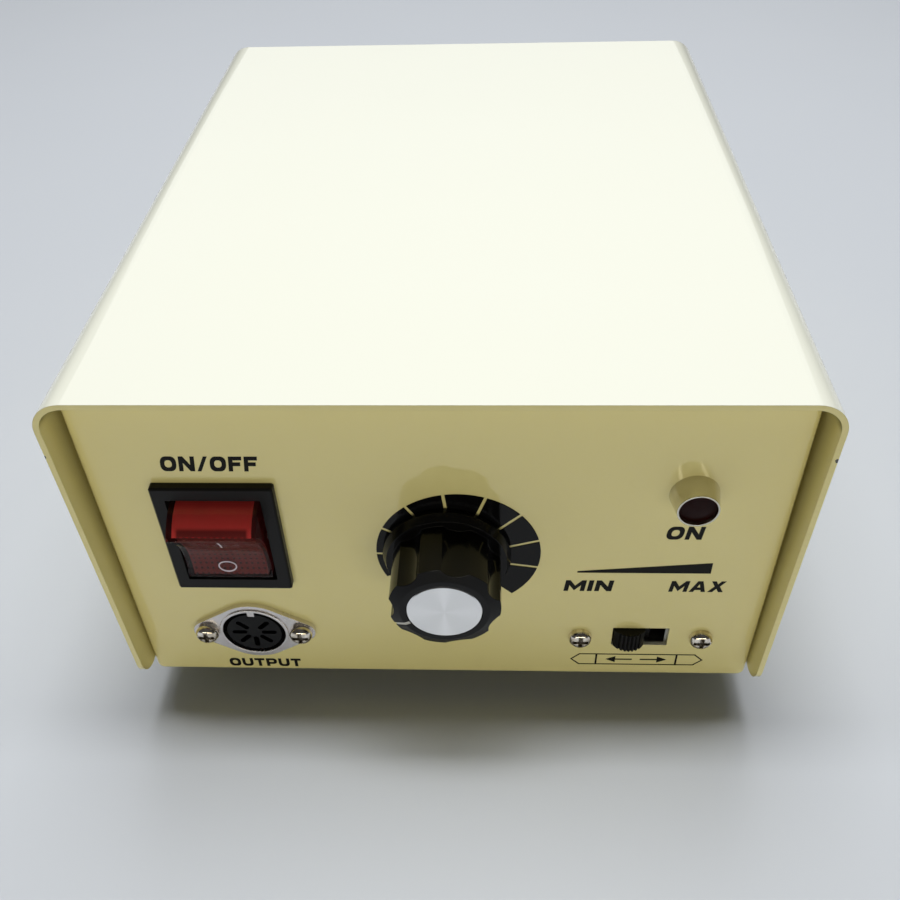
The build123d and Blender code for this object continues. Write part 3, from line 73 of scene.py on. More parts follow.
# %% Places
def middle_of(name):
    """The middle of a part's box."""
    low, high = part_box(name)
    return (low + high) / 2


chassis_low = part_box("chassis")[0]
panel_y, underside = chassis_low.y, chassis_low.z
cover_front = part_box("cover")[0].y
rocker_at = middle_of("switch_housing")
knob_at = middle_of("knob_disc")
print("panel at y =", round(panel_y / MM, 2), "mm; knob at", [round(v / MM, 2) for v in knob_at])

# %% [markdown]
# ## The camera
#
# A photograph fixes its camera completely once enough real corners are known. Here the camera was worked
# out from the case's corners: 38 mm lens, 42 degrees down, a little from the right and slightly rolled.
# It could also be aimed with a Track To constraint, but a rotation built from the three axes keeps the roll.

# %% Camera
CAMERA_FROM_FRONT_EDGE = Vector((10.303, -132.120, 197.636)) * MM
PITCH, YAW, ROLL = 0.7315137, -0.0560598, 0.0352209
LENS_MM, SENSOR_MM = 38.126, 36.0
NEAREST_SEEN = 10 * MM


def camera_axes(pitch, yaw, roll):
    """The camera's right, up and back directions, from angles in radians."""
    forward = Vector((math.sin(yaw) * math.cos(pitch), math.cos(yaw) * math.cos(pitch), -math.sin(pitch)))
    right = Vector((math.cos(yaw), -math.sin(yaw), 0.0))
    down = forward.cross(right)
    turned_right = math.cos(roll) * right + math.sin(roll) * down
    turned_down = -math.sin(roll) * right + math.cos(roll) * down
    return turned_right, -turned_down, -forward


camera = bpy.data.objects.new("camera", bpy.data.cameras.new("camera"))
bpy.context.scene.collection.objects.link(camera)
camera.data.lens = LENS_MM
camera.data.sensor_width = SENSOR_MM
camera.data.clip_start = NEAREST_SEEN
turn = Matrix(camera_axes(PITCH, YAW, ROLL)).transposed().to_4x4()
front_edge = Vector((0, cover_front, underside))
camera.matrix_world = Matrix.Translation(front_edge + CAMERA_FROM_FRONT_EDGE) @ turn
bpy.context.scene.camera = camera
print("camera at", [round(v / MM) for v in camera.location])

# %% [markdown]
# ## Shader maths that reads like maths
#
# A material that varies over a surface is a small formula. Blender writes formulas as Math nodes, and a row
# of them is hard to read. One small class wraps a socket, so that `1 - mask` or `grain * 0.2` adds the nodes.
# A second class is the material under construction, and its one method `node` makes any other node.

# %% A value in a material
class Wire:
    """A value in a material, on which Python's operators add Math nodes."""

    def __init__(self, finish, socket):
        self.finish = finish
        self.socket = socket

    def math(self, operation, *values):
        """A Math node on values, or on this one alone when none are given."""
        return self.finish.node("Math", {"operation": operation}, dict(enumerate(values or (self,))))

    def __add__(self, other):
        return self.math("ADD", self, other)

    def __sub__(self, other):
        return self.math("SUBTRACT", self, other)

    def __rsub__(self, other):
        return self.math("SUBTRACT", other, self)

    def __mul__(self, other):
        return self.math("MULTIPLY", self, other)

    def __truediv__(self, other):
        return self.math("DIVIDE", self, other)

    def __pow__(self, other):
        return self.math("POWER", self, other)

    def __gt__(self, other):
        return self.math("GREATER_THAN", self, other)

    def __lt__(self, other):
        return self.math("LESS_THAN", self, other)

    __radd__ = __add__
    __rmul__ = __mul__

    def out(self, name):
        """Another output of the same node."""
        return Wire(self.finish, self.socket.node.outputs[name])

    def ramp(self, low, high, start=0.0, end=1.0):
        """This value, moved from start..end at low..high, with soft ends."""
        settings = {"interpolation_type": "SMOOTHSTEP"}
        return self.finish.node("MapRange", settings, {0: self, 1: low, 2: high, 3: start, 4: end})


print("operators on values are ready")

# %% A material under construction
class Finish:
    """A material under construction."""

    def __init__(self, name):
        self.material = bpy.data.materials.new(name)
        self.material.use_nodes = True
        self.tree = self.material.node_tree
        self.tree.nodes.clear()

    def node(self, kind, settings=None, values=None):
        """Add a node of a kind, set it up, feed its sockets, and give its first visible output."""
        made = self.tree.nodes.new("ShaderNode" + kind)
        for key, value in (settings or {}).items():
            setattr(made, key, value)
        for key, value in (values or {}).items():
            socket = made.inputs[key]
            if isinstance(value, Wire):
                self.tree.links.new(value.socket, socket)
            elif isinstance(value, tuple) and len(value) == 3 and socket.type == "RGBA":
                socket.default_value = (*value, 1.0)
            else:
                socket.default_value = value
        visible = [socket for socket in made.outputs if socket.enabled]
        return Wire(self, visible[0]) if visible else None

    def place(self):
        """Coordinates that stay with the piece."""
        return self.node("TexCoord").out("Object")

    def vector(self, operation, first, second=(0, 0, 0)):
        """Vector Math on places and directions. A length, a distance or a dot product is a plain value."""
        made = self.node("VectorMath", {"operation": operation}, {0: first, 1: second})
        return made.out("Value") if operation in ("LENGTH", "DISTANCE", "DOT_PRODUCT") else made

    def around(self, middle):
        """The way from an axis along Y to this place, flat, and its length."""
        flat = self.vector("MULTIPLY", self.vector("SUBTRACT", self.place(), tuple(middle)), (1, 0, 1))
        return flat, self.vector("LENGTH", flat)

    def noise(self, size, detail=3.0, rough=0.55, stretch=(1, 1, 1)):
        """Soft noise with features about size metres wide."""
        place = self.node("Mapping", None, {0: self.place(), "Scale": tuple(s / size for s in stretch)})
        values = {"Vector": place, "Scale": 1.0, "Detail": detail, "Roughness": rough}
        return self.node("TexNoise", None, values)

    def mix(self, mask, first, second):
        """A colour between two colours."""
        return self.node("Mix", {"data_type": "RGBA"}, {0: mask, 6: first, 7: second})

    def bump(self, height, distance, strength=1.0, edge=0.0):
        """A Normal from a height. Distance is the height's full depth, and edge rounds corners, in metres."""
        values = {"Height": height, "Distance": distance, "Strength": strength}
        if edge:
            values["Normal"] = self.node("Bevel", {"samples": 6}, {"Radius": edge})
        return self.node("Bump", None, values)

    def surface(self, lets_light_in=None, **sockets):
        """Finish the material with one Principled shader. Clear ones may let the lamps' light in, tinted."""
        names = {key.replace("_", " "): value for key, value in sockets.items()}
        shader = self.node("BsdfPrincipled", None, names)
        if lets_light_in:
            lit_through = self.node("BsdfTransparent", None, {"Color": lets_light_in})
            shadow_ray = self.node("LightPath").out("Is Shadow Ray")
            shader = self.node("MixShader", None, {0: shadow_ray, 1: shader, 2: lit_through})
        self.node("OutputMaterial", None, {"Surface": shader})
        return self.material


print("materials can be made")

# %% [markdown]
# ## The table
#
# The box stands on a pale table with a faint blue cast. A picture of a table top could be laid on it, but a
# plain one keeps the shadow easy to read, so it only has soft clouds between two near tones.

# %% Table
TABLE_REACH = 4.0
TABLE_TONES = (0.50, 0.53, 0.57), (0.54, 0.565, 0.60)
CLOUD_SIZE = 120 * MM


def table_top():
    """The pale table's matt surface."""
    finish = Finish("table top")
    cloud = finish.noise(CLOUD_SIZE, 2.0)
    return finish.surface(Base_Color=finish.mix(cloud * 0.5, *TABLE_TONES), Roughness=0.6)


corners = [(TABLE_REACH * x, TABLE_REACH * y, 0) for x, y in ((-1, -1), (1, -1), (1, 1), (-1, 1))]
table_mesh = bpy.data.meshes.new("table")
table_mesh.from_pydata(corners, [], [(0, 1, 2, 3)])
table_mesh.materials.append(table_top())
table = bpy.data.objects.new("table", table_mesh)
bpy.context.scene.collection.objects.link(table)
print("table:", [round(v, 2) for v in table.dimensions])

# %% [markdown]
# ## The light
#
# Two lamps hang high above the box and shine straight down, so the top is the brightest face and the panel
# lies in its own shade. The wide one hangs further back and lays a soft shadow to the front. The long narrow
# one hangs over the box and draws that shadow's dark core, close under the panel. A pale screen stands far
# behind, and the glossy top mirrors it. A weak warm lamp low in front stands in for the light that a room
# throws back. A window could do all this, but a plain studio stays even on all sides.

# %% Light
WHITE = (1.0, 1.0, 1.0)
COOL = (0.96, 0.98, 1.0)
WARM = (1.0, 0.93, 0.74)
CEILING = 1.30
WORLD_STRENGTH = 0.06


def lamp_over(name, place, aim, size, watts, colour):
    """An area lamp of a width and a height, aimed at a point."""
    light = bpy.data.lights.new(name, "AREA")
    light.shape = "RECTANGLE"
    light.size, light.size_y = size
    light.energy = watts
    light.color = colour
    holder = bpy.data.objects.new(name, light)
    bpy.context.scene.collection.objects.link(holder)
    holder.location = place
    holder.visible_camera = False
    holder.rotation_euler = (Vector(aim) - Vector(place)).to_track_quat("-Z", "Y").to_euler()


lamp_over("ceiling lamp", (0.0, 0.29, CEILING), (0.0, 0.29, 0.0), (0.62, 0.72), 10.0, WHITE)
lamp_over("ceiling strip", (0.0, 0.012, CEILING), (0.0, 0.012, 0.0), (1.2, 0.17), 10.4, WHITE)
lamp_over("pale screen", (0.0, 2.6, 1.7), (0.0, 0.0, 0.1), (3.4, 1.7), 12.0, COOL)
lamp_over("room light", (0.05, -1.40, 0.20), (0.0, 0.0, 0.05), (1.8, 0.22), 5.4, WARM)

world = bpy.data.worlds.new("studio")
bpy.context.scene.world = world
world.use_nodes = True
world.node_tree.nodes["Background"].inputs["Color"].default_value = (*WHITE, 1.0)
world.node_tree.nodes["Background"].inputs["Strength"].default_value = WORLD_STRENGTH
bpy.context.scene.view_settings.view_transform = "Standard"

# %% [markdown]
# ## Cream paint
#
# The case is sprayed with a warm cream enamel, glossy enough that the knob and the lamp mirror in the panel.
# Sprayed paint never dries quite flat: it keeps a faint orange-peel texture. The colour is painted paler where
# a face looks up, as painted light for the bright top under the lamps above. A few dust specks stay in the
# film.
# High on each wall's front edge a small chip shows the dark steel. Such marks could be painted by hand on an
# image, but a distance from a point, made ragged by noise, puts them on the edge exactly.

# %% Paint
CREAM = (0.80, 0.715, 0.31)
CREAM_PAINTED_LIGHT_TOP = (0.770, 0.782, 0.682)
DUST = (0.16, 0.13, 0.08)
BARE_STEEL = (0.055, 0.055, 0.045)
DRIFT_SIZE, ROUGH_DRIFT_SIZE = 55 * MM, 20 * MM
PEEL_SIZE, PEEL_DEPTH = 2.2 * MM, 0.006 * MM
SPECK_SPACING, SPECK_RADIUS, SPECK_SHARE = 13 * MM, 0.13 * MM, 0.35
CHIP_RADIUS, CHIP_DEPTH, CHIP_RAGGED_SIZE = 1.15 * MM, 0.012 * MM, 0.9 * MM
SHEET_EDGE = 0.25 * MM


def specks(finish):
    """A few round specks: one in some of a scatter of cells."""
    values = {"Vector": finish.place(), "Scale": 1 / SPECK_SPACING}
    cells = finish.node("TexVoronoi", {"feature": "F1"}, values)
    chosen = finish.node("SeparateColor", None, {0: cells.out("Color")}) < SPECK_SHARE
    return (cells.out("Distance") < SPECK_RADIUS / SPECK_SPACING) * chosen


def chips(finish, points):
    """A ragged chip round each of two points."""
    ragged = (finish.noise(CHIP_RAGGED_SIZE, 3.0) - 0.5) * CHIP_RADIUS * 1.6
    left, right = [finish.vector("DISTANCE", finish.place(), point) + ragged < CHIP_RADIUS
                   for point in points]
    return left.math("MAXIMUM", left, right)


def cream_paint(name, chip_points=()):
    """Sprayed cream enamel, painted paler where it looks up as painted light, with chips round the given
    points.
    """
    finish = Finish(name)
    facing_up = finish.node("SeparateXYZ", None, {0: finish.node("NewGeometry").out("Normal")}).out("Z")
    # Painted light: the colour turns paler where a face looks up.
    tone = finish.mix(facing_up.ramp(0.2, 0.9), CREAM, CREAM_PAINTED_LIGHT_TOP)
    tone = finish.mix(finish.noise(DRIFT_SIZE, 2.0) * 0.04, tone, CREAM)
    tone = finish.mix(specks(finish) * 0.7, tone, DUST)
    height, depth, metal = finish.noise(PEEL_SIZE, 2.0), PEEL_DEPTH, 0.0
    if chip_points:
        chipped = chips(finish, chip_points)
        tone = finish.mix(chipped, tone, BARE_STEEL)
        height = height * (PEEL_DEPTH / CHIP_DEPTH) + (1.0 - chipped)
        depth, metal = CHIP_DEPTH, chipped * 0.6
    return finish.surface(
        Base_Color=tone, Metallic=metal, Roughness=0.30 + finish.noise(ROUGH_DRIFT_SIZE, 2.0) * 0.10,
        Normal=finish.bump(height, depth, 0.5, SHEET_EDGE), Specular_IOR_Level=0.2,
        Coat_Weight=1.0, Coat_Roughness=0.03, Coat_IOR=1.62,
    )


CHIP_HEIGHT, CHIP_ACROSS = 84.5 * MM, 75.7 * MM
chip_points = [(side * CHIP_ACROSS, cover_front, CHIP_HEIGHT) for side in (-1, 1)]
cover_finish = cream_paint("cream enamel, cover", chip_points)
panel_finish = cream_paint("cream enamel, panel")
print("paint:", cover_finish.name, "and", panel_finish.name)

# %% [markdown]
# ## Plastics
#
# The bezel, the slide button and the socket's insert are moulded in black nylon with a fine grain. The knob
# is a glossier phenolic, polished on its flutes. Both are nearly black, and only their sheen tells them
# apart, so roughness and the specular level do most of the work here. One recipe serves for all of them.
# A photograph of real plastic would be sharper up close, but it couldn't follow each part's shape.

# %% Plastic recipe
MARKS_SIZE = 9 * MM
GRAIN_SIZE, GRAIN_DEPTH = 0.35 * MM, 0.02 * MM


def moulded(name, colour, rough, grain=0.0, shine=0.5, edge=0.0):
    """Moulded plastic with a fine grain and faint handling marks. Shine is its specular level."""
    finish = Finish(name)
    marks = finish.noise(MARKS_SIZE, 4.0)
    tone = finish.mix(marks.ramp(0.3, 0.8), colour, tuple(c * 1.25 + 0.001 for c in colour))
    normal = finish.bump(finish.noise(GRAIN_SIZE, 1.0), GRAIN_DEPTH, grain, edge)
    rough_now = rough - 0.05 + marks * 0.12
    return finish.surface(Base_Color=tone, Roughness=rough_now, Normal=normal, Specular_IOR_Level=shine)


print("one recipe for plastics, grain", round(GRAIN_SIZE / MM, 2), "mm")

# %% Plastics seen from outside
bezel_black = moulded("bezel nylon", (0.0055, 0.0055, 0.0060), 0.36, grain=0.25, shine=0.17, edge=0.20 * MM)
knob_black = moulded("knob phenolic", (0.0030, 0.0030, 0.0030), 0.12, grain=0.03, shine=0.16, edge=0.26 * MM)
insert_black = moulded("insert nylon", (0.0045, 0.0048, 0.0060), 0.40, grain=0.25, shine=0.16)
button_black = moulded("button nylon", (0.0045, 0.0045, 0.0045), 0.40, grain=0.30, shine=0.16)
base_black = moulded("switch base phenolic", (0.0040, 0.0038, 0.0036), 0.50, grain=0.30, shine=0.10)
foot_black = moulded("foot rubber", (0.014, 0.014, 0.014), 0.72, grain=0.8, shine=0.3)
gland_black = moulded("gland rubber", (0.012, 0.012, 0.012), 0.62, grain=0.6, shine=0.3)
fuse_black = moulded("fuse holder plastic", (0.008, 0.008, 0.008), 0.34, grain=0.3, shine=0.4, edge=0.15 * MM)
pointer_white = moulded("pointer paint", (0.50, 0.50, 0.48), 0.40)
scale_ink = moulded("scale ink", (0.0030, 0.0030, 0.0033), 0.08, grain=0.02, shine=0.17)
print("outside:", bezel_black.name, knob_black.name, insert_black.name)

# %% Plastics inside the case
device_black = moulded("device epoxy", (0.014, 0.014, 0.015), 0.46, grain=0.4)
sleeve_black = moulded("capacitor sleeve", (0.010, 0.012, 0.022), 0.28, grain=0.1)
connector_white = moulded("connector nylon", (0.70, 0.68, 0.60), 0.42, grain=0.2)
bobbin_cream = moulded("bobbin nylon", (0.62, 0.58, 0.46), 0.45, grain=0.2)
wiper_brown = moulded("wiper plastic", (0.08, 0.05, 0.03), 0.45, grain=0.2)
wafer_brown = moulded("wafer phenolic", (0.20, 0.09, 0.035), 0.45, grain=0.3)
print("inside:", device_black.name, sleeve_black.name, wafer_brown.name)

# %% [markdown]
# ## Metals
#
# Nickel, zinc, tin, brass and aluminium share one recipe. A metal's colour is its reflection, and what makes
# it look real is a roughness that drifts from place to place, with fine scratches in one direction. A plain
# Metallic of 1 without these two would look like a mirror in a toy.

# %% Metal recipe
DULLED_SHARE = 0.72
TARNISH_SIZE = 4 * MM
SCRATCH_SIZE, SCRATCH_DEPTH = 0.6 * MM, 0.008 * MM


def plated(name, colour, rough, scratch=(1, 1, 1), depth=0.2, dull=None, edge=0.0):
    """A metal or a plated surface with drifting gloss and fine scratches."""
    finish = Finish(name)
    drift = finish.noise(TARNISH_SIZE, 4.0)
    tone = finish.mix(drift.ramp(0.45, 0.75), colour, dull or tuple(c * DULLED_SHARE for c in colour))
    lines = finish.noise(SCRATCH_SIZE, 2.0, 0.5, scratch)
    normal = finish.bump(lines, SCRATCH_DEPTH, depth, edge)
    return finish.surface(Base_Color=tone, Metallic=1.0, Roughness=rough - 0.03 + drift * 0.10, Normal=normal)


print("one recipe for metals, scratches", round(SCRATCH_SIZE / MM, 2), "mm")

# %% Metals
screw_nickel = plated("screw nickel", (0.84, 0.78, 0.70), 0.09, depth=0.35, dull=(0.66, 0.60, 0.50),
                      edge=0.08 * MM)
flange_nickel = plated("flange nickel", (0.80, 0.765, 0.765), 0.24, depth=0.10, dull=(0.73, 0.695, 0.68),
                       edge=0.12 * MM)
lamp_nickel = plated("lamp nickel", (0.66, 0.63, 0.54), 0.17, (1, 0.15, 1), depth=0.10,
                     dull=(0.60, 0.57, 0.46), edge=0.12 * MM)
nut_zinc = plated("nut zinc", (0.56, 0.56, 0.55), 0.28)
steel_can = plated("can steel", (0.52, 0.52, 0.50), 0.30)
terminal_tin = plated("terminal tin", (0.68, 0.68, 0.66), 0.26)
contact_brass = plated("contact brass", (0.72, 0.55, 0.26), 0.24)
shaft_brass = plated("shaft brass", (0.66, 0.52, 0.27), 0.26)
grub_steel = plated("grub steel", (0.34, 0.34, 0.34), 0.30)
strap_zinc = plated("strap zinc", (0.58, 0.58, 0.56), 0.34, dull=(0.46, 0.46, 0.46))
core_steel = plated("core steel", (0.24, 0.23, 0.22), 0.42, (1, 1, 14), depth=0.5)
heatsink_grey = plated("heatsink aluminium", (0.72, 0.73, 0.74), 0.36, (1, 12, 1), depth=0.3)
print("metals:", screw_nickel.name, flange_nickel.name, lamp_nickel.name, shaft_brass.name)

# %% [markdown]
# ## The screws on the panel
#
# The heads beside the socket and the slide switch are bright nickel, and what makes the cross readable is
# shade painted down in the recess. The recess is there in the mesh, so it could be lit alone, but a small
# bright metal shape mirrors its own walls and the cross drowns. The painted shade lies where a point is near a
# head's middle and deeper than its top, and noise breaks it up.

# %% Screws with painted shade in the recess
HEAD_RADIUS, RECESS_RADIUS = 2.7 * MM, 1.95 * MM
RECESS_START = 0.30 * MM
HEAD_BRIGHT, HEAD_DULL, HEAD_RECESS_SHADE = (0.88, 0.82, 0.74), (0.58, 0.51, 0.41), (0.10, 0.078, 0.055)
HEAD_DRIFT_SIZE, RECESS_SHADE_NOISE_SIZE = 1.2 * MM, 0.7 * MM


def nickel_with_recess_shade(node):
    """Nickel for a pair of heads on the panel, with painted shade down in the crossed recess."""
    low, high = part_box(node)
    height = (low.z + high.z) / 2
    finish = Finish("nickel of " + node)
    drift = finish.noise(HEAD_DRIFT_SIZE, 4.0)
    tone = finish.mix(drift.ramp(0.40, 0.65), HEAD_BRIGHT, HEAD_DULL)
    left, right = [finish.around((across, 0.0, height))[1] < RECESS_RADIUS
                   for across in (low.x + HEAD_RADIUS, high.x - HEAD_RADIUS)]
    deep = finish.node("SeparateXYZ", None, {0: finish.place()}).out("Y") > low.y + RECESS_START
    # Painted shade: the deep middle of each head is darkened, broken up by noise.
    recess_shade = (left + right) * deep
    tone = finish.mix(recess_shade * finish.noise(RECESS_SHADE_NOISE_SIZE, 2.0).ramp(0.35, 0.6, 0.35, 0.9), tone, HEAD_RECESS_SHADE)
    normal = finish.bump(drift, 0.03 * MM, 0.6, 0.08 * MM)
    return finish.surface(Base_Color=tone, Metallic=1.0, Roughness=0.13 + recess_shade * 0.3, Normal=normal)


socket_screw_nickel = nickel_with_recess_shade("socket_screws")
slide_screw_nickel = nickel_with_recess_shade("slide_screws")
print("heads:", socket_screw_nickel.name, "and", slide_screw_nickel.name)

# %% [markdown]
# ## Clear plastics and glass
#
# The pilot lamp's lens is a plug of red clear plastic, dark while the lamp is off. The rocker's shell, the
# neon, the diode and the fuse are clear. They could be plain refracting shaders, but little of the lamps'
# light finds its way through those, and what lies behind turns black. So each of these lets the light
# straight through, tinted, and bends only what the eye sees.

# %% Clear plastics and glass
HAZE_SIZE = 3 * MM


def clear(name, colour, rough, through=1.0, bend=1.47):
    """A clear or tinted plastic or glass, which the lamps' light passes. Bend is its index of refraction."""
    finish = Finish(name)
    haze = finish.noise(HAZE_SIZE, 2.0)
    return finish.surface(
        colour, Base_Color=colour, Roughness=rough + haze * 0.03, Transmission_Weight=through, IOR=bend
    )


lens_red = clear("lens red", (0.13, 0.014, 0.010), 0.30, through=0.92, bend=1.20)
clear_glass = clear("clear glass", (0.95, 0.95, 0.93), 0.03)
diode_clear = clear("diode clear", (0.72, 0.20, 0.16), 0.10, through=0.5)
shell_clear = clear("rocker shell", (0.95, 0.90, 0.88), 0.02, bend=1.30)
print("clear:", lens_red.name, clear_glass.name, diode_clear.name)

# %% [markdown]
# ## Board and windings
#
# Deep in the case the board is green laminate with copper tracks, and the windings wear yellow tape. Nobody
# sees them while the cover is on, so straight cells for the tracks and a wave for the tape's overlaps will do,
# where a drawn circuit would be the better way for an open case.

# %% Board and windings
TRACK_SCALE, TRACK_WIDTH = 160.0, 0.09
LAMINATE, TRACK = (0.012, 0.075, 0.030), (0.030, 0.16, 0.055)
TAPE_SCALE = 60.0
TAPE_TONES = (0.55, 0.40, 0.08), (0.68, 0.52, 0.14)


def laminate():
    """Green board with paler copper tracks under the lacquer."""
    finish = Finish("board laminate")
    settings = {"feature": "DISTANCE_TO_EDGE", "distance": "MANHATTAN"}
    lanes = finish.node("TexVoronoi", settings, {"Vector": finish.place(), "Scale": TRACK_SCALE})
    track = lanes < TRACK_WIDTH
    tone = finish.mix(track, LAMINATE, TRACK)
    return finish.surface(
        Base_Color=tone, Roughness=0.35, Normal=finish.bump(track, 0.03 * MM, 0.6), Coat_Weight=0.3
    )


def wound_tape():
    """Yellow tape over the turns, with the overlaps showing."""
    finish = Finish("winding tape")
    values = {"Vector": finish.place(), "Scale": TAPE_SCALE, "Distortion": 0.6}
    bands = finish.node("TexWave", {"bands_direction": "Z"}, values)
    return finish.surface(
        Base_Color=finish.mix(bands, *TAPE_TONES), Roughness=0.42, Normal=finish.bump(bands, 0.05 * MM, 0.5)
    )


board_green = laminate()
tape_yellow = wound_tape()
print("inner materials:", board_green.name, tape_yellow.name)

# %% [markdown]
# ## The rocker
#
# An illuminated rocker is two mouldings: a clear shell, which is the CAD part, and a red body inside it that
# hides the neon. The shell's depth is what makes such a switch look rich, so the body is modelled, a
# millimetre under the surface, and the shell is real clear plastic. Painting a border on a solid red rocker
# would look flat.
# The body is drawn in the rocker's own directions: across, up along the face, and out of it.

# %% Rocker directions
REST_TILT = math.radians(18.0)
ROCKER_RADIUS = 11.25 * MM
TIP_ANGLE = math.radians(36.3)
FACE_VALLEY = 4.0 * MM
SHELL_HALF = 9.25 * MM
PIN_BEHIND_PANEL = 0.7 * MM
pivot = Vector((rocker_at.x, panel_y + PIN_BEHIND_PANEL, rocker_at.z))
rocker_across = Vector((1, 0, 0))
rocker_up = Vector((0, -math.sin(REST_TILT), math.cos(REST_TILT)))
rocker_out = Vector((0, -math.cos(REST_TILT), -math.sin(REST_TILT)))
tip_up, tip_out = ROCKER_RADIUS * math.cos(TIP_ANGLE), ROCKER_RADIUS * math.sin(TIP_ANGLE)
face_radius = (tip_up**2 + (tip_out - FACE_VALLEY) ** 2) / (2 * (tip_out - FACE_VALLEY))


def on_rocker(across, up, out):
    """A point of the rocker at rest, from its own directions."""
    return pivot + across * rocker_across + up * rocker_up + out * rocker_out


def face_out(up, under=0.0):
    """How far the concave face stands out at a height, or a surface that lies under it."""
    return FACE_VALLEY + face_radius - math.sqrt((face_radius + under) ** 2 - up**2)


print("face radius", round(face_radius / MM, 2), "mm")

# %% [markdown]
# ## The red of the rocker's body
#
# The body's front is a field of fine dimples that scatter the neon's light, and seen through the shell they
# are rows of pits, painted dark as shade. They could be cut in the mesh, but more than a hundred of them under
# a clear shell cost much and show no more than this: the product of two cosines, one for each direction. The
# front is painted a much darker red than the upper end, as painted shade. The upper end is smooth and bright
# red, with a painted band of shade and a row of short dashes toward its front edge. Its sides are painted dark
# as shade, since the bezel shades them.

# %% Red of the body
BODY_UNDER, BODY_END_UNDER, BODY_SIDE_UNDER = 0.95 * MM, 0.55 * MM, 1.0 * MM
BODY_HALF = SHELL_HALF - BODY_SIDE_UNDER
DIMPLE_PITCH, DIMPLE_ROW = 1.26 * MM, 1.50 * MM
FRONT_FROM, FRONT_TOP = 2.2 * MM, 8.35 * MM
BAND_FROM, BAND_FULL, DASHES_FROM = 3.5 * MM, 4.5 * MM, 5.35 * MM
BAND_HALF, BAND_FULL_HALF = 7.7 * MM, 6.9 * MM
FLANK_FROM = BODY_HALF - 0.05 * MM
RED_DRIFT_SIZE = 5 * MM
RED_TONES = (0.52, 0.046, 0.046), (0.45, 0.040, 0.040)
BAND_SHADE_RED, DASH_RED, FRONT_SHADE_RED = (0.05, 0.006, 0.006), (0.38, 0.03, 0.028), (0.105, 0.014, 0.012)
DIMPLE_PIT_SHADE, FLANK_SHADE_RED = (0.010, 0.003, 0.003), (0.09, 0.010, 0.010)


def body_red():
    """Red plastic, with dimples in rows where the surface looks out of the rocker's front, and painted shade
    on the front, in the pits, in a band on the upper end and on the sides.
    """
    finish = Finish("rocker body red")
    moved = finish.vector("SUBTRACT", finish.place(), tuple(pivot))
    across, up, out = [finish.vector("DOT_PRODUCT", moved, tuple(direction))
                       for direction in (rocker_across, rocker_up, rocker_out)]
    columns, rows = [(way * (2 * math.pi / pitch)).math("COSINE")
                     for way, pitch in ((across, DIMPLE_PITCH), (up, DIMPLE_ROW))]
    from_middle = across.math("ABSOLUTE")
    front = (out > FRONT_FROM) * (up < FRONT_TOP)
    dimple = columns.ramp(-0.1, 0.7) * rows.ramp(-0.1, 0.7) * front
    # Painted shade: a dark band on the upper end, a darker front, dark pits and dark sides.
    shade_band = out.ramp(BAND_FROM, BAND_FULL) * from_middle.ramp(BAND_HALF, BAND_FULL_HALF)
    dashes = (columns > 0.1) * (out > DASHES_FROM)
    tone = finish.mix(finish.noise(RED_DRIFT_SIZE, 2.0), *RED_TONES)
    tone = finish.mix(shade_band * 0.85, tone, BAND_SHADE_RED)
    tone = finish.mix(dashes * 0.7, tone, DASH_RED)
    tone = finish.mix(front, tone, FRONT_SHADE_RED)
    tone = finish.mix(dimple * 0.9, tone, DIMPLE_PIT_SHADE)
    tone = finish.mix(from_middle > FLANK_FROM, tone, FLANK_SHADE_RED)
    normal = finish.bump(1.0 - dimple, 0.10 * MM, 0.8, 0.15 * MM)
    return finish.surface(Base_Color=tone, Roughness=0.34, Normal=normal, Specular_IOR_Level=0.12)


body_finish = body_red()
print("dimples every", round(DIMPLE_PITCH / MM, 2), "mm, rows every", round(DIMPLE_ROW / MM, 2), "mm")

# %% [markdown]
# ## The shape of the rocker's body
#
# Seen from the side, the body is a bar with a concave front and round ends, so its outline is a few arcs,
# and the mesh is that outline pulled across. A cylinder cut with Boolean modifiers would give the same bar
# with a worse mesh.

# %% Red body of the rocker
FACE_STEPS, END_STEPS = 24, 8
END_PAST_BACK = math.radians(22)
REACH_STEP = 0.02 * MM


def body_outline():
    """The body's outline seen from the side, as points up and out: the face, then the two round ends."""
    end_radius = ROCKER_RADIUS - BODY_END_UNDER
    reach = tip_up
    while math.hypot(reach, face_out(reach, BODY_UNDER)) > end_radius:
        reach -= REACH_STEP
    heights = [reach * (1 - 2 * k / FACE_STEPS) for k in range(FACE_STEPS + 1)]
    face = [(up, face_out(up, BODY_UNDER)) for up in heights]
    start = math.atan2(face[-1][1], face[-1][0])
    turns = [start + (math.pi + END_PAST_BACK - start) * k / END_STEPS for k in range(1, END_STEPS + 1)]
    far_end = [(end_radius * math.cos(t), end_radius * math.sin(t)) for t in turns]
    return face + far_end + [(-up, out) for up, out in reversed(far_end)]


def rocker_body():
    """The red body: its outline pulled across the rocker."""
    outline = body_outline()
    mesh = bmesh.new()
    sides = [[mesh.verts.new(on_rocker(side * BODY_HALF, *point)) for point in outline] for side in (-1, 1)]
    mesh.faces.new(sides[0])
    mesh.faces.new(reversed(sides[1]))
    for k in range(len(outline)):
        n = (k + 1) % len(outline)
        mesh.faces.new((sides[0][n], sides[0][k], sides[1][k], sides[1][n]))
    bmesh.ops.recalc_face_normals(mesh, faces=mesh.faces)
    return mesh


def piece_from(name, mesh, body, material, smooth=None):
    """An object from a bmesh, which rides on a body and wears the given material."""
    data = bpy.data.meshes.new(name)
    mesh.to_mesh(data)
    mesh.free()
    data.materials.append(material)
    if smooth:
        data.shade_smooth()
        data.set_sharp_from_angle(angle=math.radians(smooth))
    piece = bpy.data.objects.new(name, data)
    bpy.context.scene.collection.objects.link(piece)
    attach(piece, body)
    return piece


